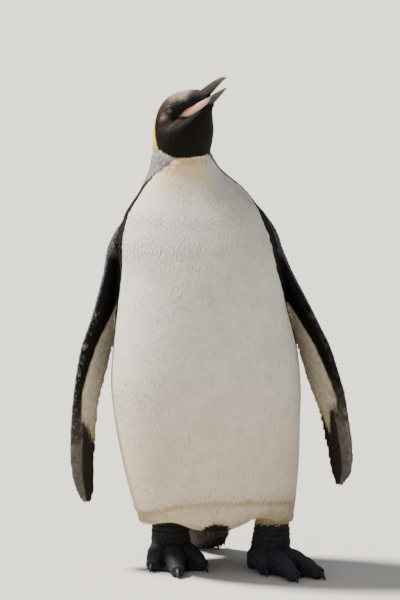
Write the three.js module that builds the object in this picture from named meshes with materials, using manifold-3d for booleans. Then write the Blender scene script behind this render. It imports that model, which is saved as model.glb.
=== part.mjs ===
// King penguin standing upright, head turned to its left and raised, flippers held a little away.
// Millimetres, +Z up. The bird faces -Y, so +X is its own left. The origin is on the floor, under
// the middle of the outline.
import * as THREE from 'three';
import { mergeVertices } from 'three/addons/utils/BufferGeometryUtils.js';
import Module from 'manifold-3d';

const wasm = await Module();
wasm.setup();

// ---- driving dimensions ----
const GAP = 0.3; // free space between neighbouring pieces
const RIM = 2.25; // roundness of the trunk's sections: 2 is an ellipse, more is squarer
const PLACE_Y = 13.8; // shift of the whole bird along Y, so that the origin is under its middle

// Trunk and neck, level sections: height, half-width, middle x, breast y, back y.
const TRUNK_ROWS = [
  [76, 120.2, 6.8, -99, 66],
  [92, 125, 5, -112, 74],
  [120, 130.7, 2.3, -124, 82],
  [166, 138, -1.4, -133, 90],
  [229, 144.7, -6.3, -140, 96],
  [292, 148.2, -9.2, -143, 98],
  [355, 143, -11, -141, 97],
  [418, 132, -15.6, -133, 93],
  [466, 126, -18, -124, 88],
  [521, 121, -24.5, -108, 80],
  [560, 105, -28, -92, 72],
  [592, 83, -30, -77, 62],
  [624, 58, -41, -66, 50],
  [648, 47.5, -46, -60, 40],
  [668, 40, -47, -50, 30],
];
const HEM_DEPTH = 15; // how far the rounded underside hangs below the lowest section
const HEM_STEPS = [0.98, 0.86, 0.62, 0.3]; // its rings, as shares of that depth
const HEM_FLAT = [0.45, 0.25]; // share of the width and of the depth that stays flat underneath
const HEM_LIFT = [ // where it is lifted over the legs, in front: middle x, half-width, height
  [75, 34, 19],
  [-62, 30, 12],
];
const HEM_LIFT_FROM = 125; // height at which the lift begins
const TRUNK_STEPS = 20;
const TRUNK_SIDES = 28;
const NECK_FOOT_Z = 602; // where the neck starts
const HEAD_FOOT_Z = 652; // lower edge of the dark hood

// Head: sections fan out around a level pivot in front of the throat, from the level neck to the
// face. Turn from level in degrees, then distances from the pivot to throat, widest part and
// crown, then half-width, then the share by which the mouth's crease pinches the section in.
const HEAD_TURN = 37; // degrees to the bird's left
const HEAD_PITCH = 34; // degrees the bill points above level
const GAPE = new THREE.Vector3(-38.8, -23.3, 710.6); // middle of the mouth at its corners
const PIVOT_AHEAD = 143;
const PIVOT_Z = 650;
const HEAD_ROWS = [
  [0, 109, 157, 205, 45, 0],
  [8, 107, 150, 210.5, 43.5, 0],
  [14, 106, 146, 213, 41.5, 0],
  [20, 105.5, 142, 211, 38, 0.2],
  [25, 107, 140, 204, 34, 0.5],
  [30, 108.5, 139, 192, 30.5, 0.64],
  [35, 110, 138, 179, 26.5, 0.64],
  [40, 112, 137, 165, 21.5, 0.6],
  [44, 113.5, 136, 154, 16, 0.5],
  [47, 114.5, 134, 145, 11, 0.2],
  [50, 116, 131, 137, 6, 0],
];
const HEAD_STEPS = 16;
const HEAD_SIDES = 26;
const CREASE_HALF = 12; // reach of the mouth's crease up and down
const CREASE_UP = -5; // its height above the gape, in the head's frame

// Bill, in the head's own frame: forward from the gape, top, bottom, half-width.
const UPPER_BILL_ROWS = [
  [14, 20, 5, 13.5],
  [34, 19.2, 4.4, 10.6],
  [50, 18.6, 2.6, 8.6],
  [66, 17.8, 2, 7],
  [86, 16.7, 3.4, 5.6],
  [100, 15.2, 4.8, 4.6],
  [112, 13.2, 5.6, 3.6],
  [120, 10.8, 5.4, 2.6],
  [126, 7, 4.8, 1.1],
];
const LOWER_BILL_ROWS = [
  [10, 2.6, -12, 13.6],
  [26, 4.2, -13, 12],
  [43, 2.4, -13, 10],
  [60, 0.6, -12.6, 8.2],
  [78, -0.6, -12, 6.2],
  [92, -2.2, -10.8, 4.7],
  [104, -3.9, -9.4, 3.4],
  [112, -5.2, -8.4, 2.3],
  [117, -6.4, -7.8, 1],
];
const BILL_STEPS = 11;
const BILL_SIDES = 14;
// Coloured plate on each side of the lower bill: forward, middle up, half-height, outward.
const PLATE_ROWS = [
  [8, -0.2, 1.4, 18.6],
  [16, -1.8, 4.8, 17.4],
  [28, -3.2, 6.8, 15],
  [42, -4.4, 6.3, 12.4],
  [58, -5.2, 5, 10],
  [72, -5.2, 3.2, 7.8],
  [82, -4.7, 1.2, 6.4],
];
const PLATE_THICK = 1.6;
const PLATE_STEPS = 9;
const PLATE_SIDES = 10;

// Eye, in the head's frame: forward, up, outward, radius of the ball.
const EYE = { ahead: -1.5, up: 15, out: 22.8, radius: 8.5 };

// Flippers, level sections: height, leading edge x and y, trailing edge x and y, thickness.
const RIGHT_FLIPPER_ROWS = [
  [556, -126, -6, -84, 40, 34],
  [511, -155, -22, -110, 40, 28],
  [463, -166, -28, -117, 40, 24],
  [398, -184, -34, -134, 37, 20],
  [352, -200, -36, -151, 33, 18],
  [308, -209, -37, -162, 29, 16.5],
  [260, -215, -37, -174, 24, 15],
  [220, -218, -36, -179, 20, 13.5],
  [174, -219, -33, -182, 15, 11.5],
  [142, -216, -29, -183, 9, 9.5],
  [116, -208, -23, -184, 1, 8],
  [102, -202, -16, -188, -5, 5.5],
];
const LEFT_FLIPPER_ROWS = [
  [568, 66, -4, 30, 42, 34],
  [532, 94, -12, 52, 46, 30],
  [497, 108, -21, 64, 46, 27],
  [461, 125, -28, 79, 44, 24],
  [421, 147, -33, 98, 41, 21],
  [384, 166, -36, 115, 37, 19],
  [352, 182, -38, 129, 33, 17.5],
  [313, 195, -39, 141, 29, 16.5],
  [278, 205, -39, 152, 25, 15.5],
  [242, 211, -38, 166, 21, 14],
  [202, 217, -36, 175, 16, 12.5],
  [174, 218.5, -33, 181, 11, 11],
  [150, 216, -28, 185, 4, 9],
  [130, 204, -17, 193, -8, 5.5],
];
const FLIPPER_STEPS = 16;
const FLIPPER_SIDES = 14;
const TRAIL_THIN = 0.6; // how much thinner the section gets towards its trailing edge

// Legs: short feathered shanks. Then feet: three forward toes each.
const LEG_HALF = [33, 30]; // across and along the body
const LEG_ROWS = [ // height, thickness as a share of those, and how far the shank leans outwards
  [16, 1.02, 0],
  [50, 0.9, 2.4],
  [92, 0.74, 4.4],
];
const LEG_STEPS = 4;
const LEG_SIDES = 14;
const LEGS = {
  left: {
    ankle: [90, -24],
    toes: { inner: [83, -84], middle: [127, -130], outer: [166, -112] },
  },
  right: {
    ankle: [-62, 5],
    toes: { inner: [-14, -55], middle: [-53, -98], outer: [-92, -55] },
  },
};
const ROOT_Z = 20; // height of the toes' roots, and how far they start in front of the ankle
const ROOT_AHEAD = 8;
const TOE_STEPS = 6;
const TOE_SIDES = 10;
const TOE_RADIUS = [20, 17, 13.5, 10.4]; // root, knuckle, pad, tip
const TOE_SPREAD = 17; // how far the outer toes' roots stand from the ankle's middle
const TOE_TIP_Z = 8;
const TOE_END = 6; // how far its rounded end reaches past the last full section
const SOLE_SINK = 1.4; // how much of each round toe is cut away by the floor
const HEEL = { across: 36, along: 33, high: 32, middle: 10 };
const TOE_FLAT = 0.86; // a toe's height as a share of its width
const TOE_BEND = 0.58; // how far along the toe its arch is highest
const WEB_THICK = 6;
const WEB_Z = 1.5;
const WEB_REACH = 0.86; // how far along the toes it runs, and how far its edge dips between them
const WEB_DIP = 0.74;
const CLAW_LENGTH = 16;
const CLAW_RADIUS = 6;
const CLAW_NARROW = 0.85; // its width as a share of its height
const CLAW_TAPER = 0.82; // how much thinner its tip is than its root
const CLAW_Z = { root: 9, knee: 11, tip: 1.4 };
const CLAW_SIDES = 6;
const CLAW_STEPS = 4;

// Tail: a stiff wedge that reaches the floor. Middle x, y, z, half-width, half-thickness.
const TAIL_ROWS = [
  [2, 42, 128, 46, 26],
  [0, 60, 98, 46, 24],
  [-3, 82, 62, 42, 18],
  [-7, 99, 30, 32, 11],
  [-10, 109, 10, 18, 7],
  [-11, 114, -2, 10, 4.5],
];
const TAIL_STEPS = 10;
const TAIL_SIDES = 16;

const rad = THREE.MathUtils.degToRad;

// ---- shared tools ----

// Smooth value of every column at a key, by cubic Hermite spans with finite-difference slopes.
function along(rows, key) {
  const last = rows.length - 1;
  let i = 0;
  while (i < last - 1 && Math.abs(key - rows[0][0]) > Math.abs(rows[i + 1][0] - rows[0][0])) i += 1;
  const [a, b] = [rows[i], rows[i + 1]];
  const span = b[0] - a[0];
  const t = (key - a[0]) / span;
  const slope = (j, column) => {
    const before = rows[Math.max(j - 1, 0)];
    const after = rows[Math.min(j + 1, last)];
    return (after[column] - before[column]) / (after[0] - before[0]);
  };
  return a.map((value, column) => {
    if (column === 0) return key;
    const from = value * (2 * t ** 3 - 3 * t ** 2 + 1) + b[column] * (3 * t ** 2 - 2 * t ** 3);
    const bend = slope(i, column) * (t ** 3 - 2 * t ** 2 + t) + slope(i + 1, column) * (t ** 3 - t ** 2);
    return from + bend * span;
  });
}

// Keys spread evenly from the first row of a table to the last.
function keysOf(rows, steps) {
  const [start, end] = [rows[0][0], rows[rows.length - 1][0]];
  return Array.from({ length: steps + 1 }, (_, i) => start + ((end - start) * i) / steps);
}

// Closed skin over rings of points, each ring a list of Vector3, with a fan over both ends.
function loft(rings) {
  const sides = rings[0].length;
  const points = rings.flat();
  const ends = [rings[0], rings[rings.length - 1]].map((ring) => {
    const middle = ring.reduce((sum, p) => sum.add(p), new THREE.Vector3()).divideScalar(sides);
    return points.push(middle) - 1;
  });
  const faces = [];
  for (let r = 0; r + 1 < rings.length; r += 1) {
    for (let s = 0; s < sides; s += 1) {
      const [a, b] = [r * sides + s, r * sides + ((s + 1) % sides)];
      faces.push(a, b, b + sides, a, b + sides, a + sides);
    }
  }
  const top = (rings.length - 1) * sides;
  for (let s = 0; s < sides; s += 1) {
    const next = (s + 1) % sides;
    faces.push(ends[0], next, s, ends[1], top + s, top + next);
  }
  const geometry = new THREE.BufferGeometry().setFromPoints(points);
  geometry.setIndex(faces);
  return solid(geometry);
}

// Manifold solid of a closed geometry, turned inside out if its faces point in.
function solid(geometry) {
  const bare = geometry.clone();
  bare.deleteAttribute('normal');
  bare.deleteAttribute('uv');
  const welded = mergeVertices(bare, 1e-4);
  const vertProperties = new Float32Array(welded.attributes.position.array);
  const triVerts = new Uint32Array(welded.index.array);
  const corner = (i) => new THREE.Vector3().fromArray(vertProperties, 3 * triVerts[i]);
  let volume = 0;
  for (let i = 0; i < triVerts.length; i += 3) {
    volume += corner(i).dot(corner(i + 1).cross(corner(i + 2)));
  }
  if (volume < 0) {
    for (let i = 0; i < triVerts.length; i += 3) {
      [triVerts[i], triVerts[i + 1]] = [triVerts[i + 1], triVerts[i]];
    }
  }
  return new wasm.Manifold(new wasm.Mesh({ numProp: 3, vertProperties, triVerts }));
}

// The largest body that a cut leaves: slivers that its neighbour parts from it are dropped.
function largest(body) {
  return body.decompose().reduce((a, b) => (b.volume() > a.volume() ? b : a));
}

// Ring of an ellipse-like outline, whose reach to the front and to the back may differ.
function ring(sides, middle, right, ahead, { wide, front, back, power = 2 }) {
  return Array.from({ length: sides }, (_, i) => {
    const angle = (2 * Math.PI * i) / sides;
    const [c, s] = [Math.cos(angle), Math.sin(angle)];
    const across = Math.sign(c) * Math.abs(c) ** (2 / power) * wide;
    const forward = Math.sign(s) * Math.abs(s) ** (2 / power) * (s > 0 ? front : back);
    return middle.clone().addScaledVector(right, across).addScaledVector(ahead, forward);
  });
}

const X = new THREE.Vector3(1, 0, 0);
const Y = new THREE.Vector3(0, 1, 0);
const Z = new THREE.Vector3(0, 0, 1);
const OVERALL = 900; // wider and taller than the whole bird

// Box between two heights, wide enough to part the whole bird.
function slab(from, to) {
  const box = new THREE.BoxGeometry(OVERALL, OVERALL, to - from);
  return solid(box.translate(0, 0, (from + to) / 2));
}

// ---- the head's own frame: ahead along the bill, left, and up ----
const HEAD = (() => {
  const level = new THREE.Vector3(Math.sin(rad(HEAD_TURN)), -Math.cos(rad(HEAD_TURN)), 0);
  const left = new THREE.Vector3(-level.y, level.x, 0);
  const ahead = level.clone().multiplyScalar(Math.cos(rad(HEAD_PITCH)));
  ahead.addScaledVector(Z, Math.sin(rad(HEAD_PITCH)));
  return { level, left, ahead, up: new THREE.Vector3().crossVectors(ahead, left) };
})();

function inHead(ahead, left, up) {
  const point = GAPE.clone().addScaledVector(HEAD.ahead, ahead);
  return point.addScaledVector(HEAD.left, left).addScaledVector(HEAD.up, up);
}

// ---- trunk, neck and head ----

// Raises a point of the hem over each leg, fading upwards and towards the back.
function hemLift(point) {
  const low = THREE.MathUtils.smoothstep(HEM_LIFT_FROM - point.z, 0, HEM_LIFT_FROM - TRUNK_ROWS[0][0]);
  const front = 1 - THREE.MathUtils.smoothstep(point.y, TRUNK_ROWS[0][3] / 2, TRUNK_ROWS[0][4]);
  const bell = ([middle, half, high]) => high * Math.exp(-(((point.x - middle) / half) ** 2));
  const over = bell(HEM_LIFT[0]) + bell(HEM_LIFT[1]);
  return point.setZ(point.z + low * front * over);
}

// Level rings up the trunk, closed below by a rounded hem.
function trunkSolid(grow = 0) {
  const rows = keysOf(TRUNK_ROWS, TRUNK_STEPS).map((z) => along(TRUNK_ROWS, z));
  const hem = HEM_STEPS.map((depth) => {
    const [z, half, x, breast, back] = rows[0];
    const round = Math.sqrt(1 - depth ** 2);
    const [wide, deep] = HEM_FLAT.map((flat) => flat + (1 - flat) * round);
    const middle = (breast + back) / 2;
    const squeeze = (y) => middle + (y - middle) * deep;
    return [z - HEM_DEPTH * depth, half * wide, x, squeeze(breast), squeeze(back)];
  });
  return loft([...hem, ...rows].map(([z, half, x, breast, back]) => {
    const middle = new THREE.Vector3(x, (breast + back) / 2, z);
    const deep = (back - breast) / 2 + grow;
    const points = ring(TRUNK_SIDES, middle, X, Y, {
      wide: half + grow,
      front: deep,
      back: deep,
      power: RIM,
    });
    const sink = z < TRUNK_ROWS[0][0] ? grow : 0;
    return points.map((point) => hemLift(point).addScaledVector(Z, -sink));
  }));
}

// Rings that fan up from the neck to the face, each pinched in where the mouth's crease crosses it.
function headSolid(grow = 0) {
  const pivot = GAPE.clone().addScaledVector(HEAD.level, PIVOT_AHEAD).setZ(PIVOT_Z);
  return loft(keysOf(HEAD_ROWS, HEAD_STEPS).map((turn) => {
    const [, throat, widest, crown, half, pinch] = along(HEAD_ROWS, turn);
    const out = HEAD.level.clone().multiplyScalar(-Math.cos(rad(turn)));
    out.addScaledVector(Z, Math.sin(rad(turn)));
    const middle = pivot.clone().addScaledVector(out, widest);
    const points = ring(HEAD_SIDES, middle, HEAD.left, out, {
      wide: half + grow,
      front: crown - widest + grow,
      back: widest - throat + grow,
    });
    return points.map((point) => {
      const across = point.clone().sub(GAPE).dot(HEAD.left);
      const above = point.clone().sub(GAPE).dot(HEAD.up) - CREASE_UP;
      const bell = Math.exp(-((above / CREASE_HALF) ** 2));
      return point.addScaledVector(HEAD.left, -across * pinch * bell);
    });
  }));
}

// ---- bill ----

function billSolid(rows, grow = 0) {
  return loft(keysOf(rows, BILL_STEPS).map((ahead) => {
    const [, top, bottom, half] = along(rows, ahead);
    const middle = inHead(ahead, 0, (top + bottom) / 2);
    const high = (top - bottom) / 2 + grow;
    return ring(BILL_SIDES, middle, HEAD.left, HEAD.up, { wide: half + grow, front: high, back: high });
  }));
}

function plateSolid(side) {
  return loft(keysOf(PLATE_ROWS, PLATE_STEPS).map((ahead) => {
    const [, up, half, out] = along(PLATE_ROWS, ahead);
    const middle = inHead(ahead, side * (out - PLATE_THICK), up);
    return ring(PLATE_SIDES, middle, HEAD.left, HEAD.up, { wide: 2 * PLATE_THICK, front: half, back: half });
  }));
}

function eyeSolid(side, grow = 0) {
  const ball = new THREE.SphereGeometry(EYE.radius + grow, 12, 8);
  const middle = inHead(EYE.ahead, side * EYE.out, EYE.up);
  return solid(ball.translate(middle.x, middle.y, middle.z));
}

// ---- flippers, legs, feet, tail ----

// Level blade sections, thickest near the leading edge.
function flipperSolid(rows) {
  return loft(keysOf(rows, FLIPPER_STEPS).map((z) => {
    const [, leadX, leadY, trailX, trailY, thick] = along(rows, z);
    const chord = new THREE.Vector3(trailX - leadX, trailY - leadY, 0);
    const flat = new THREE.Vector3(-chord.y, chord.x, 0).normalize();
    return Array.from({ length: FLIPPER_SIDES }, (_, i) => {
      const angle = (2 * Math.PI * i) / FLIPPER_SIDES;
      const share = (1 - Math.cos(angle)) / 2;
      const out = Math.sin(angle) * (thick / 2) * (1 - TRAIL_THIN * share);
      return new THREE.Vector3(leadX, leadY, z).addScaledVector(chord, share).addScaledVector(flat, out);
    });
  }));
}

function legSolid([x, y]) {
  return loft(keysOf(LEG_ROWS, LEG_STEPS).map((z) => {
    const [, share, lean] = along(LEG_ROWS, z);
    const [wide, deep] = LEG_HALF.map((half) => half * share);
    const middle = new THREE.Vector3(x + Math.sign(x) * lean, y, z);
    return ring(LEG_SIDES, middle, X, Y, { wide, front: deep, back: deep, power: RIM });
  }));
}

// Path of one toe: from the ankle down and forward to its fleshy tip.
function toePath(leg, toe) {
  const [x, y] = leg.ankle;
  const [tipX, tipY] = leg.toes[toe];
  const sides = { inner: -1, middle: 0, outer: 1 };
  const outward = Math.sign(x) * sides[toe] * TOE_SPREAD;
  const start = new THREE.Vector3(x + outward, y - ROOT_AHEAD, ROOT_Z);
  const bend = start.clone().lerp(new THREE.Vector3(tipX, tipY, ROOT_Z), TOE_BEND);
  return new THREE.QuadraticBezierCurve3(start, bend, new THREE.Vector3(tipX, tipY, TOE_TIP_Z));
}

function toeSolid(leg, toe, grow) {
  const path = toePath(leg, toe);
  const sizes = TOE_RADIUS.map((radius, i) => [i / (TOE_RADIUS.length - 1), radius]);
  const rings = [];
  for (let i = 0; i <= TOE_STEPS; i += 1) {
    const t = i / TOE_STEPS;
    const radius = along(sizes, t)[1] + grow;
    const middle = path.getPoint(t);
    const high = radius * TOE_FLAT;
    middle.z = Math.max(middle.z, high - SOLE_SINK);
    const across = new THREE.Vector3().crossVectors(path.getTangent(t), Z).normalize();
    const up = new THREE.Vector3().crossVectors(across, path.getTangent(t));
    rings.push(ring(TOE_SIDES, middle, across, up, { wide: radius, front: high, back: high, power: RIM }));
  }
  const tip = path.getPoint(1).addScaledVector(path.getTangent(1), TOE_END);
  rings.push(rings[TOE_STEPS].map((p) => p.clone().lerp(tip, 0.5)));
  return loft(rings);
}

// Flat sheet of skin between two neighbouring toes.
function webSolid(leg, toe, next, grow) {
  const at = (name, t) => toePath(leg, name).getPoint(t);
  const inner = at(toe, WEB_REACH);
  const outer = at(next, WEB_REACH);
  const dip = at(toe, WEB_DIP).add(at(next, WEB_DIP)).multiplyScalar(0.5);
  const ankle = new THREE.Vector3(...leg.ankle, 0);
  const shape = new THREE.Shape([ankle, inner, dip, outer].map((p) => new THREE.Vector2(p.x, p.y)));
  const sheet = new THREE.ExtrudeGeometry(shape, { depth: WEB_THICK + grow, bevelEnabled: false });
  return solid(sheet.translate(0, 0, WEB_Z));
}

function footSolid(leg, grow = 0) {
  const [x, y] = leg.ankle;
  const ball = new THREE.SphereGeometry(1, 14, 8);
  ball.rotateX(Math.PI / 2);
  ball.scale(HEEL.across + grow, HEEL.along + grow, HEEL.high + grow);
  let foot = solid(ball.translate(x, y, HEEL.middle));
  const names = Object.keys(leg.toes);
  for (const toe of names) foot = foot.add(toeSolid(leg, toe, grow));
  for (let i = 0; i + 1 < names.length; i += 1) {
    foot = foot.add(webSolid(leg, names[i], names[i + 1], grow));
  }
  return foot.intersect(slab(0, OVERALL));
}

// Tapered claw that curves down to just above the floor.
function clawSolid(leg, toe) {
  const path = toePath(leg, toe);
  const forward = path.getTangent(1).setZ(0).normalize();
  const start = path.getPoint(1).setZ(CLAW_Z.root);
  const end = start.clone().addScaledVector(forward, CLAW_LENGTH).setZ(CLAW_Z.tip);
  const knee = start.clone().lerp(end, 0.5).setZ(CLAW_Z.knee);
  const line = new THREE.QuadraticBezierCurve3(start, knee, end);
  const rings = [];
  for (let i = 0; i <= CLAW_STEPS; i += 1) {
    const t = i / CLAW_STEPS;
    const radius = CLAW_RADIUS * (1 - CLAW_TAPER * t ** 1.3);
    const across = new THREE.Vector3().crossVectors(line.getTangent(t), Z).normalize();
    const up = new THREE.Vector3().crossVectors(across, line.getTangent(t));
    rings.push(ring(CLAW_SIDES, line.getPoint(t), across, up, {
      wide: radius * CLAW_NARROW,
      front: radius,
      back: radius,
    }));
  }
  return loft(rings).intersect(slab(GAP, OVERALL));
}

function tailSolid(grow = 0) {
  const line = new THREE.CatmullRomCurve3(TAIL_ROWS.map(([x, y, z]) => new THREE.Vector3(x, y, z)));
  const sizes = TAIL_ROWS.map(([, , , half, thick], i) => [i / (TAIL_ROWS.length - 1), half, thick]);
  const rings = [];
  for (let i = 0; i <= TAIL_STEPS; i += 1) {
    const t = i / TAIL_STEPS;
    const [, half, thick] = along(sizes, t);
    const out = new THREE.Vector3().crossVectors(line.getTangent(t), X).normalize();
    rings.push(ring(TAIL_SIDES, line.getPoint(t), X, out, {
      wide: half + grow,
      front: thick + grow,
      back: thick + grow,
    }));
  }
  return loft(rings).intersect(slab(0, OVERALL));
}

// ---- assembly ----
const group = new THREE.Group();

function place(name, body, colour, roughness) {
  const mesh = largest(body).getMesh();
  const points = new Float32Array(mesh.vertProperties.length);
  for (let i = 0; i < points.length; i += 3) {
    const from = (i / 3) * mesh.numProp;
    points.set(mesh.vertProperties.slice(from, from + 3), i);
    points[i + 1] += PLACE_Y;
  }
  const geometry = new THREE.BufferGeometry();
  geometry.setAttribute('position', new THREE.BufferAttribute(points, 3));
  geometry.setIndex(Array.from(mesh.triVerts));
  geometry.computeVertexNormals();
  const part = new THREE.Mesh(geometry, new THREE.MeshStandardMaterial({ color: colour, roughness }));
  part.name = name;
  group.add(part);
}

const flesh = trunkSolid().add(headSolid());
const fleshGrown = trunkSolid(GAP).add(headSolid(GAP));
const SIDES = { left: 1, right: -1 };
const sockets = eyeSolid(1, GAP).add(eyeSolid(-1, GAP));

place('trunk', flesh.intersect(slab(0, NECK_FOOT_Z - GAP / 2)), '#e9e3d3', 0.8);
place('neck', flesh.intersect(slab(NECK_FOOT_Z + GAP / 2, HEAD_FOOT_Z - GAP / 2)), '#b9b6ad', 0.8);
place('head', flesh.intersect(slab(HEAD_FOOT_Z + GAP / 2, OVERALL)).subtract(sockets), '#2a211b', 0.7);

const upperGrown = billSolid(UPPER_BILL_ROWS, GAP);
const lowerGrown = billSolid(LOWER_BILL_ROWS, GAP);
place('bill_upper', billSolid(UPPER_BILL_ROWS).subtract(fleshGrown), '#2b2624', 0.45);
place('bill_lower', billSolid(LOWER_BILL_ROWS).subtract(fleshGrown).subtract(upperGrown), '#3a2a26', 0.45);

for (const [side, sign] of Object.entries(SIDES)) {
  const plate = plateSolid(sign).subtract(lowerGrown).subtract(upperGrown).subtract(fleshGrown);
  place(`bill_plate_${side}`, plate, '#d9826b', 0.35);
  place(`eye_${side}`, eyeSolid(sign), '#4a463c', 0.15);
}

const tailGrown = tailSolid(GAP);
const flippers = { left: LEFT_FLIPPER_ROWS, right: RIGHT_FLIPPER_ROWS };
for (const [side, rows] of Object.entries(flippers)) {
  place(`flipper_${side}`, flipperSolid(rows).subtract(fleshGrown), '#3a3a3c', 0.8);
}

for (const [side, leg] of Object.entries(LEGS)) {
  const foot = footSolid(leg);
  const footGrown = footSolid(leg, GAP);
  const shank = legSolid(leg.ankle).subtract(fleshGrown).subtract(footGrown).subtract(tailGrown);
  place(`leg_${side}`, shank, '#2e2c2c', 0.85);
  place(`foot_${side}`, foot, '#33353a', 0.7);
  for (const toe of Object.keys(leg.toes)) {
    place(`claw_${side}_${toe}`, clawSolid(leg, toe).subtract(footGrown), '#1c1a1a', 0.4);
  }
}

place('tail', tailSolid().subtract(fleshGrown), '#2d2620', 0.8);

export default group;
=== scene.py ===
"""King penguin, life size, standing upright with its head turned to its left and raised.

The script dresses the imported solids: one skin, a plumage of overlapping vanes, bill, eyes, feet and
tail, then floor, lights and camera. Shapes are worked out in millimetres on the bird's own axes,
where it faces -Y and +X is its left, and build() sets them down in metres.
"""

import math

import bpy
from mathutils import Matrix
import numpy as np


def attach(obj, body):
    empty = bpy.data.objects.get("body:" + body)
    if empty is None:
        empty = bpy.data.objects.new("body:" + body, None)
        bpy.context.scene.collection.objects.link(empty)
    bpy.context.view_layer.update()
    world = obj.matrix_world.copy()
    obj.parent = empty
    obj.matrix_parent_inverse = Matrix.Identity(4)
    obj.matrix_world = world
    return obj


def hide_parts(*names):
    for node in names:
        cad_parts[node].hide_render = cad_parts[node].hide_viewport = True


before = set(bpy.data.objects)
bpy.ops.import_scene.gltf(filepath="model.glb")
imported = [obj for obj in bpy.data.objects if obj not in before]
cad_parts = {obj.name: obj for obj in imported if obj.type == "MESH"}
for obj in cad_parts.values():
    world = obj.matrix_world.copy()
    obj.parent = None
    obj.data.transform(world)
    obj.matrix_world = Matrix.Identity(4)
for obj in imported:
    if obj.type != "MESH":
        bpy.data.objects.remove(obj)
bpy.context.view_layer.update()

# ---------------------------------------------------------------- sizes, in millimetres

MM = 0.001
PLACE_Y = 13.8  # the whole bird is moved by this along Y, so that the origin is under its middle
RIM = 2.25  # roundness of the trunk's sections: 2 is an ellipse, more is squarer

# Trunk and neck, level sections: height, half-width, middle x, breast y, back y.
TRUNK_ROWS = [
    (76, 120.2, 6.8, -99, 66), (92, 125, 5, -112, 74), (120, 130.7, 2.3, -124, 82),
    (166, 138, -1.4, -133, 90), (229, 144.7, -6.3, -140, 96), (292, 148.2, -9.2, -143, 98),
    (355, 143, -11, -141, 97), (418, 132, -15.6, -133, 93), (466, 126, -18, -124, 88),
    (521, 121, -24.5, -108, 80), (560, 105, -28, -92, 72), (592, 83, -30, -77, 62),
    (624, 58, -41, -66, 50), (648, 47.5, -46, -60, 40), (668, 40, -47, -50, 30),
]
HEM_DEPTH = 15  # of the rounded hem under the lowest section
HEM_STEPS = (0.98, 0.86, 0.62, 0.3)  # shares of that depth at which the hem's own sections lie
HEM_FLAT = (0.45, 0.25)  # shares of the width and the depth that are flat underneath
HEM_LIFT = [(75, 34, 19), (-62, 30, 12)]  # over each leg, in front: middle x, half-width, height
HEM_LIFT_FROM = 125  # height up to which that lift is felt
HEM_COAT = 5  # length of the fringe under the hem

# Head: turn from level, then distances from the pivot to throat, widest part and crown,
# half-width, and the share by which the mouth's crease pinches the section in.
HEAD_TURN, HEAD_PITCH = math.radians(37), math.radians(34)
GAPE = np.array((-38.8, -23.3, 710.6))
PIVOT_AHEAD, PIVOT_Z = 143, 650
HEAD_ROWS = [
    (0, 109, 157, 205, 45, 0), (8, 107, 150, 210.5, 43.5, 0), (14, 106, 146, 213, 41.5, 0),
    (20, 105.5, 142, 211, 38, 0.2), (25, 107, 140, 204, 34, 0.5), (30, 108.5, 139, 192, 30.5, 0.64),
    (35, 110, 138, 179, 26.5, 0.64), (40, 112, 137, 165, 21.5, 0.6), (44, 113.5, 136, 154, 16, 0.5),
    (47, 114.5, 134, 145, 11, 0.2), (50, 116, 131, 137, 6, 0),
]
CREASE_HALF, CREASE_UP = 12, -5
FOOT_OF_HOOD, FOOT_FADE = 1.2, 12  # more depth of coat where the head starts, and the turn it fades over

# Bill, in the head's frame: forward from the gape, top, bottom, half-width.
UPPER_BILL_ROWS = [
    (4, 19, 6, 13), (14, 20, 5, 13.5), (34, 19.2, 4.4, 10.6), (50, 18.6, 2.6, 8.6), (66, 17.8, 2, 7),
    (86, 16.7, 3.4, 5.6), (100, 15.2, 4.8, 4.6), (112, 13.2, 5.6, 3.6), (120, 10.8, 5.4, 2.6),
    (126, 7, 4.8, 1.1),
]
LOWER_BILL_ROWS = [
    (2, 1, -11, 12), (10, 2.6, -12, 13.6), (26, 4.2, -13, 12), (43, 2.4, -13, 10),
    (60, 0.6, -12.6, 8.2), (78, -0.6, -12, 6.2), (92, -2.2, -10.8, 4.7), (104, -3.9, -9.4, 3.4),
    (112, -5.2, -8.4, 2.3), (117, -6.4, -7.8, 1),
]
# Coloured plate on the lower bill: forward, middle up, half-height, outward.
PLATE_ROWS = [
    (8, -0.2, 1.4, 18.6), (16, -1.8, 4.8, 17.4), (28, -3.2, 6.8, 15), (42, -4.4, 6.3, 12.4),
    (58, -5.2, 5, 10), (72, -5.2, 3.2, 7.8), (82, -4.7, 1.2, 6.4),
]
PLATE_THICK = 1.6
EYE_AHEAD, EYE_UP, EYE_OUT, EYE_RADIUS = -1.5, 15, 22.8, 8.5

# Flippers: height, leading edge x and y, trailing edge x and y, thickness.
FLIPPER_ROWS = {
    "right": [
        (556, -126, -6, -84, 40, 34), (511, -155, -22, -110, 40, 28), (463, -166, -28, -117, 40, 24),
        (398, -184, -34, -134, 37, 20), (352, -200, -36, -151, 33, 18), (308, -209, -37, -162, 29, 16.5),
        (260, -215, -37, -174, 24, 15), (220, -218, -36, -179, 20, 13.5), (174, -219, -33, -182, 15, 11.5),
        (142, -216, -29, -183, 9, 9.5), (116, -208, -23, -184, 1, 8), (102, -202, -16, -188, -5, 5.5),
    ],
    "left": [
        (568, 66, -4, 30, 42, 34), (532, 94, -12, 52, 46, 30), (497, 108, -21, 64, 46, 27),
        (461, 125, -28, 79, 44, 24), (421, 147, -33, 98, 41, 21), (384, 166, -36, 115, 37, 19),
        (352, 182, -38, 129, 33, 17.5), (313, 195, -39, 141, 29, 16.5), (278, 205, -39, 152, 25, 15.5),
        (242, 211, -38, 166, 21, 14), (202, 217, -36, 175, 16, 12.5), (174, 218.5, -33, 181, 11, 11),
        (150, 216, -28, 185, 4, 9), (130, 204, -17, 193, -8, 5.5),
    ],
}
TRAIL_THIN = 0.6  # share of the thickness lost from the leading to the trailing edge
EDGE_THICK = 3.6
BLADE_POWER = 0.6  # roundness of the blade's section: 1 is a sine, less is squarer

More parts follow.
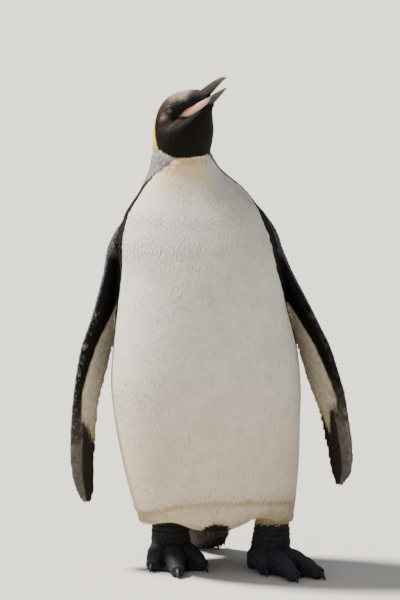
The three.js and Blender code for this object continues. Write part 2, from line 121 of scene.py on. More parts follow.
# Legs and feet.
LEG_ROWS = [(16, 1.02, 0), (50, 0.9, 2.4), (92, 0.74, 4.4)]  # height, share of LEG_HALF, lean outwards
LEG_HALF = (33, 30)
LEGS = {
    "left": ((90, -24), {"inner": (83, -84), "middle": (127, -130), "outer": (166, -112)}),
    "right": ((-62, 5), {"inner": (-14, -55), "middle": (-53, -98), "outer": (-92, -55)}),
}
TOE_SIDE = {"inner": -1, "middle": 0, "outer": 1}
ROOT_Z, ROOT_AHEAD, TOE_SPREAD, TOE_TIP_Z = 20, 8, 17, 8
TOE_ROWS = [(0, 20), (1 / 3, 17), (2 / 3, 13.5), (1, 10.4)]
TOE_FLAT, TOE_BEND, TOE_END, SOLE_SINK = 0.86, 0.58, 6, 1.4
TOE_ENDS = ((0.25, 0.35), (0.55, 0.6), (0.85, 0.8))  # blunt end: share drawn in, and share ahead
JOINTS, JOINT_SWELL, JOINT_SHIFT = 3, 0.05, 0.1  # number, share of the radius, shift to the root
HEEL = (36, 33, 32, 10)  # half sizes across, along and up, then height of its middle
HEEL_POLE = 0.02  # angle at which its first and last rings stand off its poles
WEB_THICK, WEB_Z, WEB_REACH, WEB_DIP = 6, 1.5, 0.86, 0.74
CLAW_LENGTH, CLAW_RADIUS, CLAW_NARROW, CLAW_TAPER = 16, 6, 0.85, 0.82
CLAW_Z = (9, 11, 1.4)

# Tail: middle height, x, y, half-width, half-thickness.
TAIL_ROWS = [
    (128, 2, 42, 46, 26), (98, 0, 60, 46, 24), (62, -3, 82, 42, 18),
    (30, -7, 99, 32, 11), (10, -10, 109, 18, 7), (-2, -11, 114, 10, 4.5),
]

# Depth of the plumage over the skin.
DEPTH = {"trunk": 1.9, "neck": 1.7, "head": 1.5, "flipper": 1.1, "leg": 1.2, "tail": 3.0, "foot": 0.8}
NECK_DEPTH_HEIGHTS = (560, 640)  # between these the trunk's depth turns into the neck's
SKIN_VOXEL = 0.0028  # metres
SKIN_KEPT = 0.8  # share of the skin's faces left after it is thinned

X, Y, Z = np.eye(3)


# ---------------------------------------------------------------- shared shape tools

def along(rows, keys):
    """Every column at the keys: cubic Hermite spans with finite-difference slopes."""
    table = np.array(rows, float)
    keys = np.atleast_1d(np.asarray(keys, float))
    way = np.sign(table[-1, 0] - table[0, 0])
    i = np.clip(np.searchsorted(way * table[:, 0], way * keys, side="right") - 1, 0, len(table) - 2)
    before, after = np.vstack([table[:1], table[:-1]]), np.vstack([table[1:], table[-1:]])
    slope = (after - before) / (after[:, :1] - before[:, :1])
    a, b = table[i], table[i + 1]
    span = b[:, :1] - a[:, :1]
    t = np.clip((keys[:, None] - a[:, :1]) / span, 0, 1)
    value = a * (2 * t**3 - 3 * t**2 + 1) + b * (3 * t**2 - 2 * t**3)
    bend = slope[i] * (t**3 - 2 * t**2 + t) + slope[i + 1] * (t**3 - t**2)
    return (value + bend * span)[:, 1:]


def unit(vectors):
    """Vectors divided by their own length."""
    return vectors / np.maximum(np.linalg.norm(vectors, axis=-1, keepdims=True), 1e-9)


def smooth_step(value, low, high):
    """0 below low, 1 above high, and 3t^2 - 2t^3 between them."""
    t = np.clip((value - low) / (high - low), 0, 1)
    return t * t * (3 - 2 * t)


def signed_power(value, power):
    """The power of the size, with the sign kept."""
    return np.sign(value) * np.abs(value) ** power


def sections(middle, right, ahead, wide, front, back, sides, power=2.0):
    """Closed sections: middle + right * wide * c + ahead * reach * s, where c and s are the signed
    powers 2/power of cosine and sine, and reach is front where s > 0 and back elsewhere."""
    angle = np.arange(sides) * 2 * np.pi / sides
    c, s = signed_power(np.cos(angle), 2 / power), signed_power(np.sin(angle), 2 / power)
    across = np.outer(wide, c)[..., None] * np.broadcast_to(right, middle.shape)[:, None]
    reach = np.where(s > 0, np.outer(front, s), np.outer(back, s))
    return middle[:, None] + across + reach[..., None] * np.broadcast_to(ahead, middle.shape)[:, None]


def loft(rings):
    """Closed surface over sections (n, m, 3): quads between them and a fan over both ends, turned
    outwards by the sign of its volume."""
    n, m, _ = rings.shape
    points = np.concatenate([rings.reshape(-1, 3), rings[:1].mean(1), rings[-1:].mean(1)])
    r, s = np.meshgrid(np.arange(n - 1), np.arange(m), indexing="ij")
    a, b = r * m + s, r * m + (s + 1) % m
    quads = np.stack([a, b, b + m, a + m], -1).reshape(-1, 4)
    i = np.arange(m)
    j, last = (i + 1) % m, (n - 1) * m
    first_fan = np.stack([np.full(m, n * m), j, i], -1)
    last_fan = np.stack([np.full(m, n * m + 1), last + i, last + j], -1)
    return outwards(points, quads, np.concatenate([first_fan, last_fan]))


def outwards(points, quads, tris):
    """Faces reversed if the volume they enclose is negative."""
    flat = np.concatenate([quads[:, [0, 1, 2]], quads[:, [0, 2, 3]], tris])
    a, b, c = points[flat[:, 0]], points[flat[:, 1]], points[flat[:, 2]]
    if np.einsum("ij,ij->", a, np.cross(b, c)) < 0:
        quads, tris = quads[:, ::-1], tris[:, ::-1]
    return points, quads, tris


def joined(shapes):
    """Several (points, quads, tris) as one."""
    offset = np.cumsum([0] + [len(p) for p, _, _ in shapes])
    points = np.concatenate([p for p, _, _ in shapes])
    quads = np.concatenate([q + o for (_, q, _), o in zip(shapes, offset)])
    tris = np.concatenate([t + o for (_, _, t), o in zip(shapes, offset)])
    return points, quads, tris


def build(name, shape, smooth=True):
    """Mesh object in metres from (points in millimetres, quads, tris)."""
    points, quads, tris = shape
    mesh = bpy.data.meshes.new(name)
    loops = np.concatenate([quads.ravel(), tris.ravel()]).astype(np.int32)
    sizes = np.concatenate([np.full(len(quads), 4), np.full(len(tris), 3)])
    starts = (np.cumsum(sizes) - sizes).astype(np.int32)
    mesh.vertices.add(len(points))
    mesh.vertices.foreach_set("co", ((points + (0, PLACE_Y, 0)) * MM).astype(np.float32).ravel())
    mesh.loops.add(len(loops))
    mesh.loops.foreach_set("vertex_index", loops)
    mesh.polygons.add(len(sizes))
    mesh.polygons.foreach_set("loop_start", starts)
    mesh.update(calc_edges=True)
    mesh.polygons.foreach_set("use_smooth", np.full(len(sizes), smooth))
    made = bpy.data.objects.new(name, mesh)
    bpy.context.scene.collection.objects.link(made)
    return made


def settle(piece, material, slot, *nodes):
    """Gives a finished piece its material and body, and hides the solids it stands for. Its slot is not used.
    """
    piece.data.materials.append(material)
    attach(piece, "root")
    if nodes:
        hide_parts(*nodes)


def paint(piece, colours):
    """Point attribute "tint" of linear colours."""
    attribute = piece.data.attributes.new("tint", "FLOAT_COLOR", "POINT")
    rgba = np.ones((len(colours), 4), np.float32)
    rgba[:, :3] = colours
    attribute.data.foreach_set("color", rgba.ravel())


def ripple(points, size, seed):
    """Soft noise from -1 to 1: the mean of ten sine waves in seeded directions, about size apart."""
    rng = np.random.default_rng(seed)
    waves = unit(rng.normal(size=(10, 3))) * rng.uniform(0.6, 1.7, (10, 1)) * 2 * np.pi / size
    return np.sin(points @ waves.T + rng.uniform(0, 2 * np.pi, 10)).sum(1) / 5


# ---------------------------------------------------------------- the head's own frame

LEVEL = np.array((math.sin(HEAD_TURN), -math.cos(HEAD_TURN), 0))
LEFT = np.array((-LEVEL[1], LEVEL[0], 0))
AHEAD = LEVEL * math.cos(HEAD_PITCH) + Z * math.sin(HEAD_PITCH)
UP = np.cross(AHEAD, LEFT)


def in_head(ahead, left, up):
    """Point at those distances from the gape along the head's axes."""
    ahead, left, up = (np.asarray(v, float)[..., None] for v in np.broadcast_arrays(ahead, left, up))
    return GAPE + ahead * AHEAD + left * LEFT + up * UP


def head_place(points):
    """Distances from the gape along the head's axes: forward, left, up."""
    return (points - GAPE) @ np.stack([AHEAD, LEFT, UP]).T


# ---------------------------------------------------------------- forms of the body

def over_legs(points):
    """How far the hem is raised at each place: a bell across X over each leg, fading to the back."""
    front = 1 - smooth_step(points[..., 1], TRUNK_ROWS[0][3] / 2, TRUNK_ROWS[0][4])
    return front * sum(high * np.exp(-(((points[..., 0] - x) / half) ** 2)) for x, half, high in HEM_LIFT)


def hem_lift(points):
    """Raises the hem over each leg, fading upwards."""
    low = smooth_step(HEM_LIFT_FROM - points[..., 2], 0, HEM_LIFT_FROM - TRUNK_ROWS[0][0])
    return points + (low * over_legs(points))[..., None] * Z


def trunk_rings(steps=90, sides=96):
    """Level sections up the trunk over a rounded hem, drawn in by the depth of the plumage."""
    z = np.linspace(TRUNK_ROWS[0][0], TRUNK_ROWS[-1][0], steps)
    rows = np.column_stack([z, along(TRUNK_ROWS, z)])
    low = rows[0]
    hem = []
    for share in HEM_STEPS:
        wide, deep = (flat + (1 - flat) * math.sqrt(1 - share**2) for flat in HEM_FLAT)
        middle = (low[3] + low[4]) / 2
        breast, back = middle + (low[3:] - middle) * deep
        hem.append((low[0] - HEM_DEPTH * share + HEM_COAT, low[1] * wide, low[2], breast, back))
    rows = np.vstack([hem, rows])
    inset = DEPTH["trunk"] + (DEPTH["neck"] - DEPTH["trunk"]) * smooth_step(rows[:, 0], *NECK_DEPTH_HEIGHTS)
    middle = np.column_stack([rows[:, 2], (rows[:, 3] + rows[:, 4]) / 2, rows[:, 0]])
    deep = (rows[:, 4] - rows[:, 3]) / 2 - inset
    return hem_lift(sections(middle, X, Y, rows[:, 1] - inset, deep, deep, sides, RIM))


def head_rings(steps=46, sides=72):
    """Sections that fan up around the pivot, each pinched along LEFT by a bell around the mouth's
    crease, and drawn in by the depth of the plumage."""
    turn = np.linspace(0, HEAD_ROWS[-1][0], steps)
    throat, widest, crown, half, pinch = along(HEAD_ROWS, turn).T
    inset = np.minimum(DEPTH["head"] + FOOT_OF_HOOD * (1 - smooth_step(turn, 0, FOOT_FADE)), half * 0.5)
    angle = np.radians(turn)[:, None]
    out = -LEVEL * np.cos(angle) + Z * np.sin(angle)
    pivot = np.array((*(GAPE + LEVEL * PIVOT_AHEAD)[:2], PIVOT_Z))
    middle = pivot + out * widest[:, None]
    points = sections(middle, LEFT, out, half - inset, crown - widest - inset, widest - throat - inset, sides)
    across = (points - GAPE) @ LEFT
    above = (points - GAPE) @ UP - CREASE_UP
    drawn = -across * pinch[:, None] * np.exp(-((above / CREASE_HALF) ** 2))
    return points + drawn[..., None] * LEFT


def flipper_rings(rows, inset, steps=70, sides=36):
    """Level blade sections: along the chord by (1 - cos)/2 and out of it by the BLADE_POWER of sin times
    the half thickness, which thins towards the trailing edge but keeps EDGE_THICK."""
    z = np.linspace(rows[0][0], rows[-1][0], steps)
    lead_x, lead_y, trail_x, trail_y, thick = along(rows, z).T
    lead, trail = np.column_stack([lead_x, lead_y, z]), np.column_stack([trail_x, trail_y, z])
    chord = unit(trail - lead)
    lead, trail = lead + chord * inset, trail - chord * inset / 2
    flat = np.column_stack([-chord[:, 1], chord[:, 0], np.zeros(steps)])
    angle = np.arange(sides) * 2 * np.pi / sides
    share = (1 - np.cos(angle)) / 2
    half = np.maximum(np.outer(thick / 2, 1 - TRAIL_THIN * share) - inset, EDGE_THICK / 2)
    out = half * signed_power(np.sin(angle), BLADE_POWER)
    return lead[:, None] + (trail - lead)[:, None] * share[:, None] + out[..., None] * flat[:, None]


def leg_rings(ankle, inset, steps=20, sides=40):
    """Squarish level sections up the feathered shank, leaning outwards and narrowing."""
    z = np.linspace(LEG_ROWS[0][0], LEG_ROWS[-1][0], steps)
    share, lean = along(LEG_ROWS, z).T
    middle = np.column_stack([ankle[0] + np.sign(ankle[0]) * lean, np.full(steps, ankle[1]), z])
    wide, deep = (half * share - inset for half in LEG_HALF)
    return sections(middle, X, Y, wide, deep, deep, sides, RIM)


def toe_line(side, toe, t):
    """Quadratic Bezier from the ankle to the toe's tip, and its direction."""
    (x, y), toes = LEGS[side]
    tip = np.array((*toes[toe], TOE_TIP_Z), float)
    start = np.array((x + np.sign(x) * TOE_SIDE[toe] * TOE_SPREAD, y - ROOT_AHEAD, ROOT_Z), float)
    bend = start + (np.array((tip[0], tip[1], ROOT_Z)) - start) * TOE_BEND
    t = np.atleast_1d(t)[:, None]
    at = start * (1 - t) ** 2 + bend * 2 * t * (1 - t) + tip * t**2
    return at, unit((bend - start) * (1 - t) + (tip - bend) * t)


def toe_radius(t):
    """Radius along a toe, tapering and swollen a little in a cosine over its joints."""
    return along(TOE_ROWS, t)[:, 0] * (1 + JOINT_SWELL * np.cos(2 * np.pi * (t * JOINTS + JOINT_SHIFT)))


def toe_rings(side, toe, inset, steps=26, sides=24):
    """Rounded sections along the toe, then a blunt end that draws in towards its tip."""
    t = np.linspace(0, 1, steps)
    middle, way = toe_line(side, toe, t)
    radius = toe_radius(t) - inset
    high = radius * TOE_FLAT
    middle[:, 2] = np.maximum(middle[:, 2], high - SOLE_SINK + inset)
    across = unit(np.cross(way, Z))
    up = np.cross(across, way)
    rings = sections(middle, across, up, radius, high, high, sides, RIM)
    tip = middle[-1] + way[-1] * TOE_END
    ends = [rings[-1] + (tip - rings[-1]) * drawn + way[-1] * (ahead * TOE_END - drawn * TOE_END)
            for drawn, ahead in TOE_ENDS]
    return np.concatenate([rings, np.stack(ends)])


def web_shape(side, toe, following):
    """Flat prism between two toes, its front edge dipping between them."""
    ankle = np.array((*LEGS[side][0], 0.0))
    inner, outer = toe_line(side, toe, WEB_REACH)[0][0], toe_line(side, following, WEB_REACH)[0][0]
    dip = (toe_line(side, toe, WEB_DIP)[0][0] + toe_line(side, following, WEB_DIP)[0][0]) / 2
    outline = np.stack([ankle, inner, dip, outer])
    low, high = outline.copy(), outline.copy()
    low[:, 2], high[:, 2] = WEB_Z, WEB_Z + WEB_THICK
    i = np.arange(4)
    j = (i + 1) % 4
    tris = np.array([(4, 5, 6), (4, 6, 7), (2, 1, 0), (3, 2, 0)])
    return outwards(np.concatenate([low, high]), np.stack([i, j, j + 4, i + 4], -1), tris)


def heel_rings(ankle, inset, steps=20, sides=36):
    """Ellipsoid under the ankle, in level rings."""
    across, deep, high, middle = HEEL
    polar = np.linspace(HEEL_POLE, np.pi - HEEL_POLE, steps)
    level = middle + (high - inset) * np.cos(polar)
    centre = np.column_stack([np.full(steps, ankle[0]), np.full(steps, ankle[1]), level])
    wide, reach = (across - inset) * np.sin(polar), (deep - inset) * np.sin(polar)
    return sections(centre, X, Y, wide, reach, reach, sides)


def tail_rings(inset, steps=40, sides=40):
    """Flattened sections down the tail, square to its line."""
    z = np.linspace(TAIL_ROWS[0][0], TAIL_ROWS[-1][0], steps)
    x, y, half, thick = along(TAIL_ROWS, z).T
    middle = np.column_stack([x, y, z])
    way = unit(np.gradient(middle, axis=0))
    out = unit(np.cross(way, X))
    return sections(middle, X, out, half - inset, thick - inset, thick - inset, sides)


def remeshed(name, shape, voxel):
    """The union of overlapping closed shapes as one even surface: (points, quads) in millimetres."""
    rough = build(name + "_rough", shape)
    modifier = rough.modifiers.new("union", "REMESH")
    modifier.mode = "VOXEL"
    modifier.voxel_size = voxel
    evaluated = rough.evaluated_get(bpy.context.evaluated_depsgraph_get())
    mesh = bpy.data.meshes.new_from_object(evaluated)
    points = np.empty(len(mesh.vertices) * 3, np.float32)
    mesh.vertices.foreach_get("co", points)
    quads = np.empty(len(mesh.loops), np.int32)
    mesh.loops.foreach_get("vertex_index", quads)
    bpy.data.objects.remove(rough)
    bpy.data.meshes.remove(mesh)
    return points.reshape(-1, 3).astype(float) / MM - (0, PLACE_Y, 0), quads.reshape(-1, 4)


PUSH_BACK = 1.06  # of the step towards the neighbours' mean


def relaxed(points, quads, rounds, share):
    """Smoothed without shrinking: each point drawn by a share towards the mean of its neighbours,
    then pushed away again by a little more, several times over."""
    a, b = quads.ravel(), np.roll(quads, -1, 1).ravel()
    ends, starts = np.concatenate([a, b]), np.concatenate([b, a])
    count = np.bincount(ends, minlength=len(points))[:, None]
    for step in (share, -PUSH_BACK * share) * rounds:
        total = np.stack([np.bincount(ends, points[starts, k], len(points)) for k in range(3)], -1)
        points = points + (total / count - points) * step
    return points


def point_normals(points, quads):
    """Unit sum of the face normals around each point."""
    diagonal = points[quads[:, 2]] - points[quads[:, 0]], points[quads[:, 3]] - points[quads[:, 1]]
    face = np.cross(*diagonal)
    total = [np.bincount(quads.ravel(), np.repeat(face[:, k], 4), len(points)) for k in range(3)]
    return unit(np.stack(total, -1))


# ---------------------------------------------------------------- places on the body

NECK_MIDDLE = (-46, -8, 0)  # point on the neck's axis

# Bounds between the parts of the skin.
FREE_OF_TRUNK = 1.005  # distance in trunk_place's measure past which a flipper may begin
FLIPPER_SPARE = (0.1, 2, 4)  # past the chord's ends as a share, out of the blade, below its tip
TAIL_SPARE = (2, 1.6, 6)  # beside the tail, then times its thickness and beyond, behind and in front
TAIL_TOP, TAIL_FROM, TAIL_UNDER = 118, 40, 8
LEG_TOP, LEG_SPARE = 73, 4
FOOT_TOP, BETWEEN_FEET = 34, 14
HEAD_FROM = 648


def trunk_place(points):
    """Angle round the trunk in degrees, 0 in front and positive to the left, and how far out the
    point lies, 1 being the solid's surface."""
    z = np.clip(points[:, 2], TRUNK_ROWS[0][0], TRUNK_ROWS[-1][0])
    half, middle, breast, back = along(TRUNK_ROWS, z).T
    u = (points[:, 0] - middle) / half
    v = -(points[:, 1] - (breast + back) / 2) / ((back - breast) / 2)
    return np.degrees(np.arctan2(u, v)), (np.abs(u) ** RIM + np.abs(v) ** RIM) ** (1 / RIM)


def neck_angle(points):
    """Angle round the neck's axis in degrees, 0 where the bill points and positive to the left."""
    flat = points - NECK_MIDDLE
    return np.degrees(np.arctan2(flat @ LEFT, flat @ LEVEL))


def flipper_place(points, rows):
    """Share along the chord from the leading edge, distance out of the chord's plane, which is
    positive on the outer face and negative on the inner one, and the blade's thickness."""
    z = np.clip(points[:, 2], rows[-1][0], rows[0][0])
    lead_x, lead_y, trail_x, trail_y, thick = along(rows, z).T
    chord = np.column_stack([trail_x - lead_x, trail_y - lead_y])
    length = np.linalg.norm(chord, axis=1)
    chord /= length[:, None]
    offset = points[:, :2] - np.column_stack([lead_x, lead_y])
    side = -1 if rows[0][1] > 0 else 1
    out = side * (offset[:, 1] * chord[:, 0] - offset[:, 0] * chord[:, 1])
    return (offset * chord).sum(1) / length, out, thick


def on_tail(points):
    """True in a box that follows the tail's sections, behind the trunk's foot."""
    across_spare, times, deep_spare = TAIL_SPARE
    z = points[:, 2]
    x, y, half, thick = along(TAIL_ROWS, np.clip(z, TAIL_ROWS[-1][0], TAIL_ROWS[0][0])).T
    across = np.abs(points[:, 0] - x) < half + across_spare
    deep = np.abs(points[:, 1] - y) < thick * times + deep_spare
    return across & deep & (z < TAIL_TOP) & (points[:, 1] > TAIL_FROM)


def region(points):
    """Name of the part that each point of the skin belongs to."""
    _, far = trunk_place(points)
    z = points[:, 2]
    names = np.full(len(points), "trunk", dtype="U13")
    share_spare, out_spare, tip_spare = FLIPPER_SPARE
    for side, rows in FLIPPER_ROWS.items():
        share, out, thick = flipper_place(points, rows)
        inside = (share > -share_spare) & (share < 1 + share_spare) & (np.abs(out) < thick / 2 + out_spare)
        level = (z > rows[-1][0] - tip_spare) & (z < rows[0][0])
        names[(far > FREE_OF_TRUNK) & inside & level] = "flipper_" + side
    below = (far > 1) | (z < TRUNK_ROWS[0][0] - HEM_DEPTH + TAIL_UNDER)
    names[below & on_tail(points)] = "tail"
    wide, deep = (half + LEG_SPARE for half in LEG_HALF)
    for side, (ankle, _) in LEGS.items():
        across, ahead = np.abs(points[:, 0] - ankle[0]) / wide, np.abs(points[:, 1] - ankle[1]) / deep
        near = across**RIM + ahead**RIM < 1
        names[near & (z < LEG_TOP) & (names == "trunk")] = "leg_" + side
        own = np.sign(points[:, 0] - BETWEEN_FEET) == np.sign(ankle[0])
        names[own & (z < FOOT_TOP) & (names != "tail")] = "foot_" + side
    names[(z > HEAD_FROM) & (names == "trunk")] = "head"
    return names


# ---------------------------------------------------------------- colours

WHITE = (0.64, 0.62, 0.57)
CREAM = (0.585, 0.505, 0.37)
BREAST_ORANGE = (0.90, 0.63, 0.25)
LEMON = (0.78, 0.60, 0.035)
SILVER = (0.25, 0.245, 0.255)
SLATE = (0.100, 0.105, 0.12)
LINE_BLACK = (0.011, 0.009, 0.008)
HOOD_BLACK = (0.0055, 0.0043, 0.0036)
HOOD_BROWN = (0.14, 0.098, 0.072)
# Painted highlight on the crown and forehead.
HOOD_PAINTED_HIGHLIGHT = (0.42, 0.375, 0.33)
# Brown of the breast's specks, and also the painted light on the cheek's folds.
SPECK_AND_LIT_CHEEK_BROWN = (0.22, 0.16, 0.13)
FLIPPER_BLACK = (0.006, 0.0056, 0.0055)
FLIPPER_WORN = (0.165, 0.148, 0.134)
# Pale flecks on the flippers' edges: partly scuffs, partly painted glints.
FLIPPER_FLECK_AND_GLINT = (0.42, 0.40, 0.36)
FLIPPER_CREAM = (0.68, 0.615, 0.47)
FLIPPER_TAN = (0.42, 0.31, 0.15)
LEG_DARK = (0.022, 0.021, 0.022)
FOOT_DARK = (0.019, 0.024, 0.032)
TAIL_BROWN = (0.052, 0.037, 0.027)
OCHRE = (0.33, 0.235, 0.115)
# Painted shade under the belly between the legs.
ARCH_PAINTED_SHADE = (0.010, 0.007, 0.005)
PLAIN = {"leg": LEG_DARK, "foot": FOOT_DARK, "tail": TAIL_BROWN}


def mixed(base, colour, share):
    """Rows of base moved towards one colour by each point's share."""
    share = np.broadcast_to(np.clip(share, 0, 1), len(base))[:, None]
    return base * (1 - share) + np.asarray(colour) * share


def plain(colour, points):
    """The same colour for every point."""
    return np.tile(colour, (len(points), 1))


# ---------------------------------------------------------------- markings of the trunk, with painted light and shade

# Edge of the white front: height, then the angle round the trunk on the right and on the left.
BREAST_EDGE = [
    (668, 0, 50), (650, 8, 66), (646, 19, 72), (636, 34, 75), (626, 49, 79), (615, 60, 84),
    (604, 69, 88), (588, 74, 87), (573, 73.5, 81), (561, 72, 77), (546, 70, 72), (529, 68, 70.5),
    (510, 67, 69.5), (493, 69, 69.5), (467, 74, 73.5), (425, 79, 83), (366, 81, 82), (303, 88, 84),
    (240, 94, 90), (150, 101, 101), (40, 104, 104),
]
# Black line behind that edge: height, and width in degrees.
LINE_WIDTH = [
    (668, 3), (634, 3.5), (612, 6), (598, 18), (560, 24), (500, 26), (430, 16), (360, 8), (250, 6), (40, 5),
]
LINE_PALER = (625, 645)  # heights between which the line loses half its black

# The cream towards the bottom is partly the plumage's own tone, partly painted warm light from the ground.
CREAM_AND_BOUNCE_HEIGHTS = (150, 420)  # the white is cream at the first and white at the second
STREAKED = (1, 1, 0.08)  # draws noise out downwards
COLLAR_HEIGHTS, COLLAR_ANGLES, COLLAR_TURN = (560, 652), (34, 70), 10
# Small brown specks on the breast: x and height.
BREAST_SPECKS = [(-1, 448), (3, 444), (25, 460), (21, 455), (-4, 436), (12, 452)]
SPECK_SIZE = 1.8
# Ochre fold low on the belly: x and height.
BELLY_FOLD = [(-110, 96), (-83, 103), (-50, 116), (-18, 121), (50, 121.5), (93, 119), (125, 112)]
STAIN_HALF, STAIN_ANGLES = 4.5, (50, 75)
# Ochre down over the hem below these heights: partly stain, partly painted shade below the fold.
HEM_OCHRE_AND_SHADE_HEIGHTS = (78, 135)
# Painted shade under the belly between the legs: a dark arch in the hem in front of the tail.
# Its middle x, half-width, foot, height and softness.
ARCH_SHADE_SHAPE = (8, 27, 66, 21, 3)
SILVER_HEIGHTS = (560, 640)


def belly_stains_and_shade(colours, points, angle):
    """Ochre in a bell across the fold, and down over the hem, there partly stain and partly painted shade
    below the fold, and the dark arch, which is a bell across X: painted shade under the belly between
    the legs."""
    z = points[:, 2]
    fold = along(BELLY_FOLD, points[:, 0])[:, 0]
    stain = np.exp(-(((z - fold) / STAIN_HALF) ** 2)) * (1 - smooth_step(np.abs(angle), *STAIN_ANGLES))
    colours = mixed(colours, OCHRE, 0.85 * stain * (0.8 + 0.25 * ripple(points, 40, 9)))
    # Ochre over the hem: partly stain, partly painted shade below the fold.
    hem = (1 - smooth_step(z, *HEM_OCHRE_AND_SHADE_HEIGHTS)) * (0.75 + 0.25 * ripple(points, 30, 11))
    colours = mixed(colours, OCHRE, 0.7 * hem)
    # Painted shade: a dark arch on the hem's front, under the belly between the legs.
    x, half, foot, high, soft = ARCH_SHADE_SHAPE
    arch = foot + high * np.exp(-(((points[:, 0] - x) / half) ** 2))
    under = 1 - smooth_step(z + 2 * ripple(points, 6, 12), arch - soft, arch + soft)
    return mixed(colours, ARCH_PAINTED_SHADE, (points[:, 1] < 0) * under)


def front_colours(points, angle):
    """White that turns cream downwards, partly its own tone and partly painted warm light reflected up
    from the ground, finely streaked, with a few specks, a golden collar under the throat, and the
    stains and the painted shade of the belly."""
    z = points[:, 2]
    # Cream downwards: partly its own tone, partly painted warm light reflected up from the ground.
    low = 1 - smooth_step(z, *CREAM_AND_BOUNCE_HEIGHTS)
    colours = mixed(plain(WHITE, points), CREAM, 0.85 * low + 0.12 * ripple(points, 90, 5))
    colours *= (1 + 0.035 * ripple(points * STREAKED, 5, 6))[:, None]
    for x, height in BREAST_SPECKS:
        speck = np.hypot(points[:, 0] - x, z - height) < SPECK_SIZE
        colours = mixed(colours, SPECK_AND_LIT_CHEEK_BROWN, 0.35 * speck * (points[:, 1] < 0))
    collar = smooth_step(z, *COLLAR_HEIGHTS) * (1 - smooth_step(np.abs(angle + COLLAR_TURN), *COLLAR_ANGLES))
    colours = mixed(colours, BREAST_ORANGE, 0.72 * collar**1.5 * (1 + 0.2 * ripple(points, 30, 7)))
    return belly_stains_and_shade(colours, points, angle)


def trunk_colours(points):
    """White front, black line and slate back, parted by the angle round the trunk."""
    z = points[:, 2]
    angle, _ = trunk_place(points)
    right, left = along(BREAST_EDGE[::-1], z).T
    reach = np.abs(angle) - np.where(angle < 0, right, left) + 0.8 * ripple(points, 14, 3)
    width = along(LINE_WIDTH[::-1], z)[:, 0]
    back = mixed(plain(SLATE, points), SILVER, smooth_step(z, *SILVER_HEIGHTS) * 0.9)
    back *= (1 + 0.12 * ripple(points, 18, 13))[:, None]
    share = smooth_step(reach, -0.5, 0.5)[:, None]
    colours = front_colours(points, angle) * (1 - share) + back * share
    line = smooth_step(reach, -0.7, 0.2) * (1 - smooth_step(reach, width - 1, width + 1.5))
    return mixed(colours, LINE_BLACK, line * (1 - 0.5 * smooth_step(z, *LINE_PALER)))


# ---------------------------------------------------------------- markings of the head, with painted light and shade

# Lower edge of the dark hood: angle round the neck and height.
HOOD_EDGE = [(0, 653), (40, 651), (63, 654), (86, 662), (105, 666), (130, 672), (180, 684)]
CROWN_UP, CROWN_AHEAD = (8, 30), (-60, 30)
# Painted highlight over crown and forehead: its middle, how it drops behind and rises before, its ends.
HIGHLIGHT_MIDDLE, HIGHLIGHT_SLOPES = 20, (0.45, 0.55)
HIGHLIGHT_UP, HIGHLIGHT_BACK, HIGHLIGHT_FRONT = (16, 38), (-20, 2), (30, 46)
# Painted light and shade of the folds on each side, round the eye and on the cheek: forward and up
# from the gape, half sizes, colour and share.
HOOD_PAINTED_SHADING = [
    ((-14, 10), (9, 5), SPECK_AND_LIT_CHEEK_BROWN, 0.85), ((-21, -1), (8, 5), HOOD_BLACK, 0.9),
    ((4, 14), (14, 7.5), HOOD_BLACK, 0.95), ((2, 4), (9, 3.5), HOOD_BLACK, 0.8),
]
MARKS_FROM = 12  # distance from the middle of the head at which they begin
# Patch behind the ear: height, then the angles of its front and its back edge.
EAR_PATCH = [
    (650, 76, 86), (655, 85, 100), (664, 94, 120), (674, 103, 138), (687, 114, 152), (697, 126, 160),
    (705, 134, 160), (714, 143, 150),
]
PATCH_FOOT, PATCH_TOP = (659, 664), 713
# Thin yellow line under the hood's edge: drop, half-width, and the angles where it comes and goes.
RIM_DROP, RIM_HALF, RIM_COMES, RIM_GOES = 1.2, 1.6, (48, 70), (92, 104)
# Fold of skin that runs back and down from each corner of the mouth: forward and up in the head.
GAPE_FOLD = [(14, -2.5), (9, -3.5), (3, -8.5), (-2, -11), (-9, -16.5)]
GAPE_FOLD_HALF, GAPE_FOLD_FROM = 1.9, 10


def gape_ridge(points):
    """1 on the fold behind the mouth, fading as a bell with the distance from its line."""
    ahead, left, up = head_place(points).T
    line = np.array(GAPE_FOLD, float)
    best = np.full(len(points), np.inf)
    for start, end in zip(line[:-1], line[1:]):
        way = end - start
        t = np.clip(((ahead - start[0]) * way[0] + (up - start[1]) * way[1]) / (way @ way), 0, 1)
        best = np.minimum(best, np.hypot(ahead - start[0] - t * way[0], up - start[1] - t * way[1]))
    return np.exp(-((best / GAPE_FOLD_HALF) ** 2)) * (np.abs(left) > GAPE_FOLD_FROM)


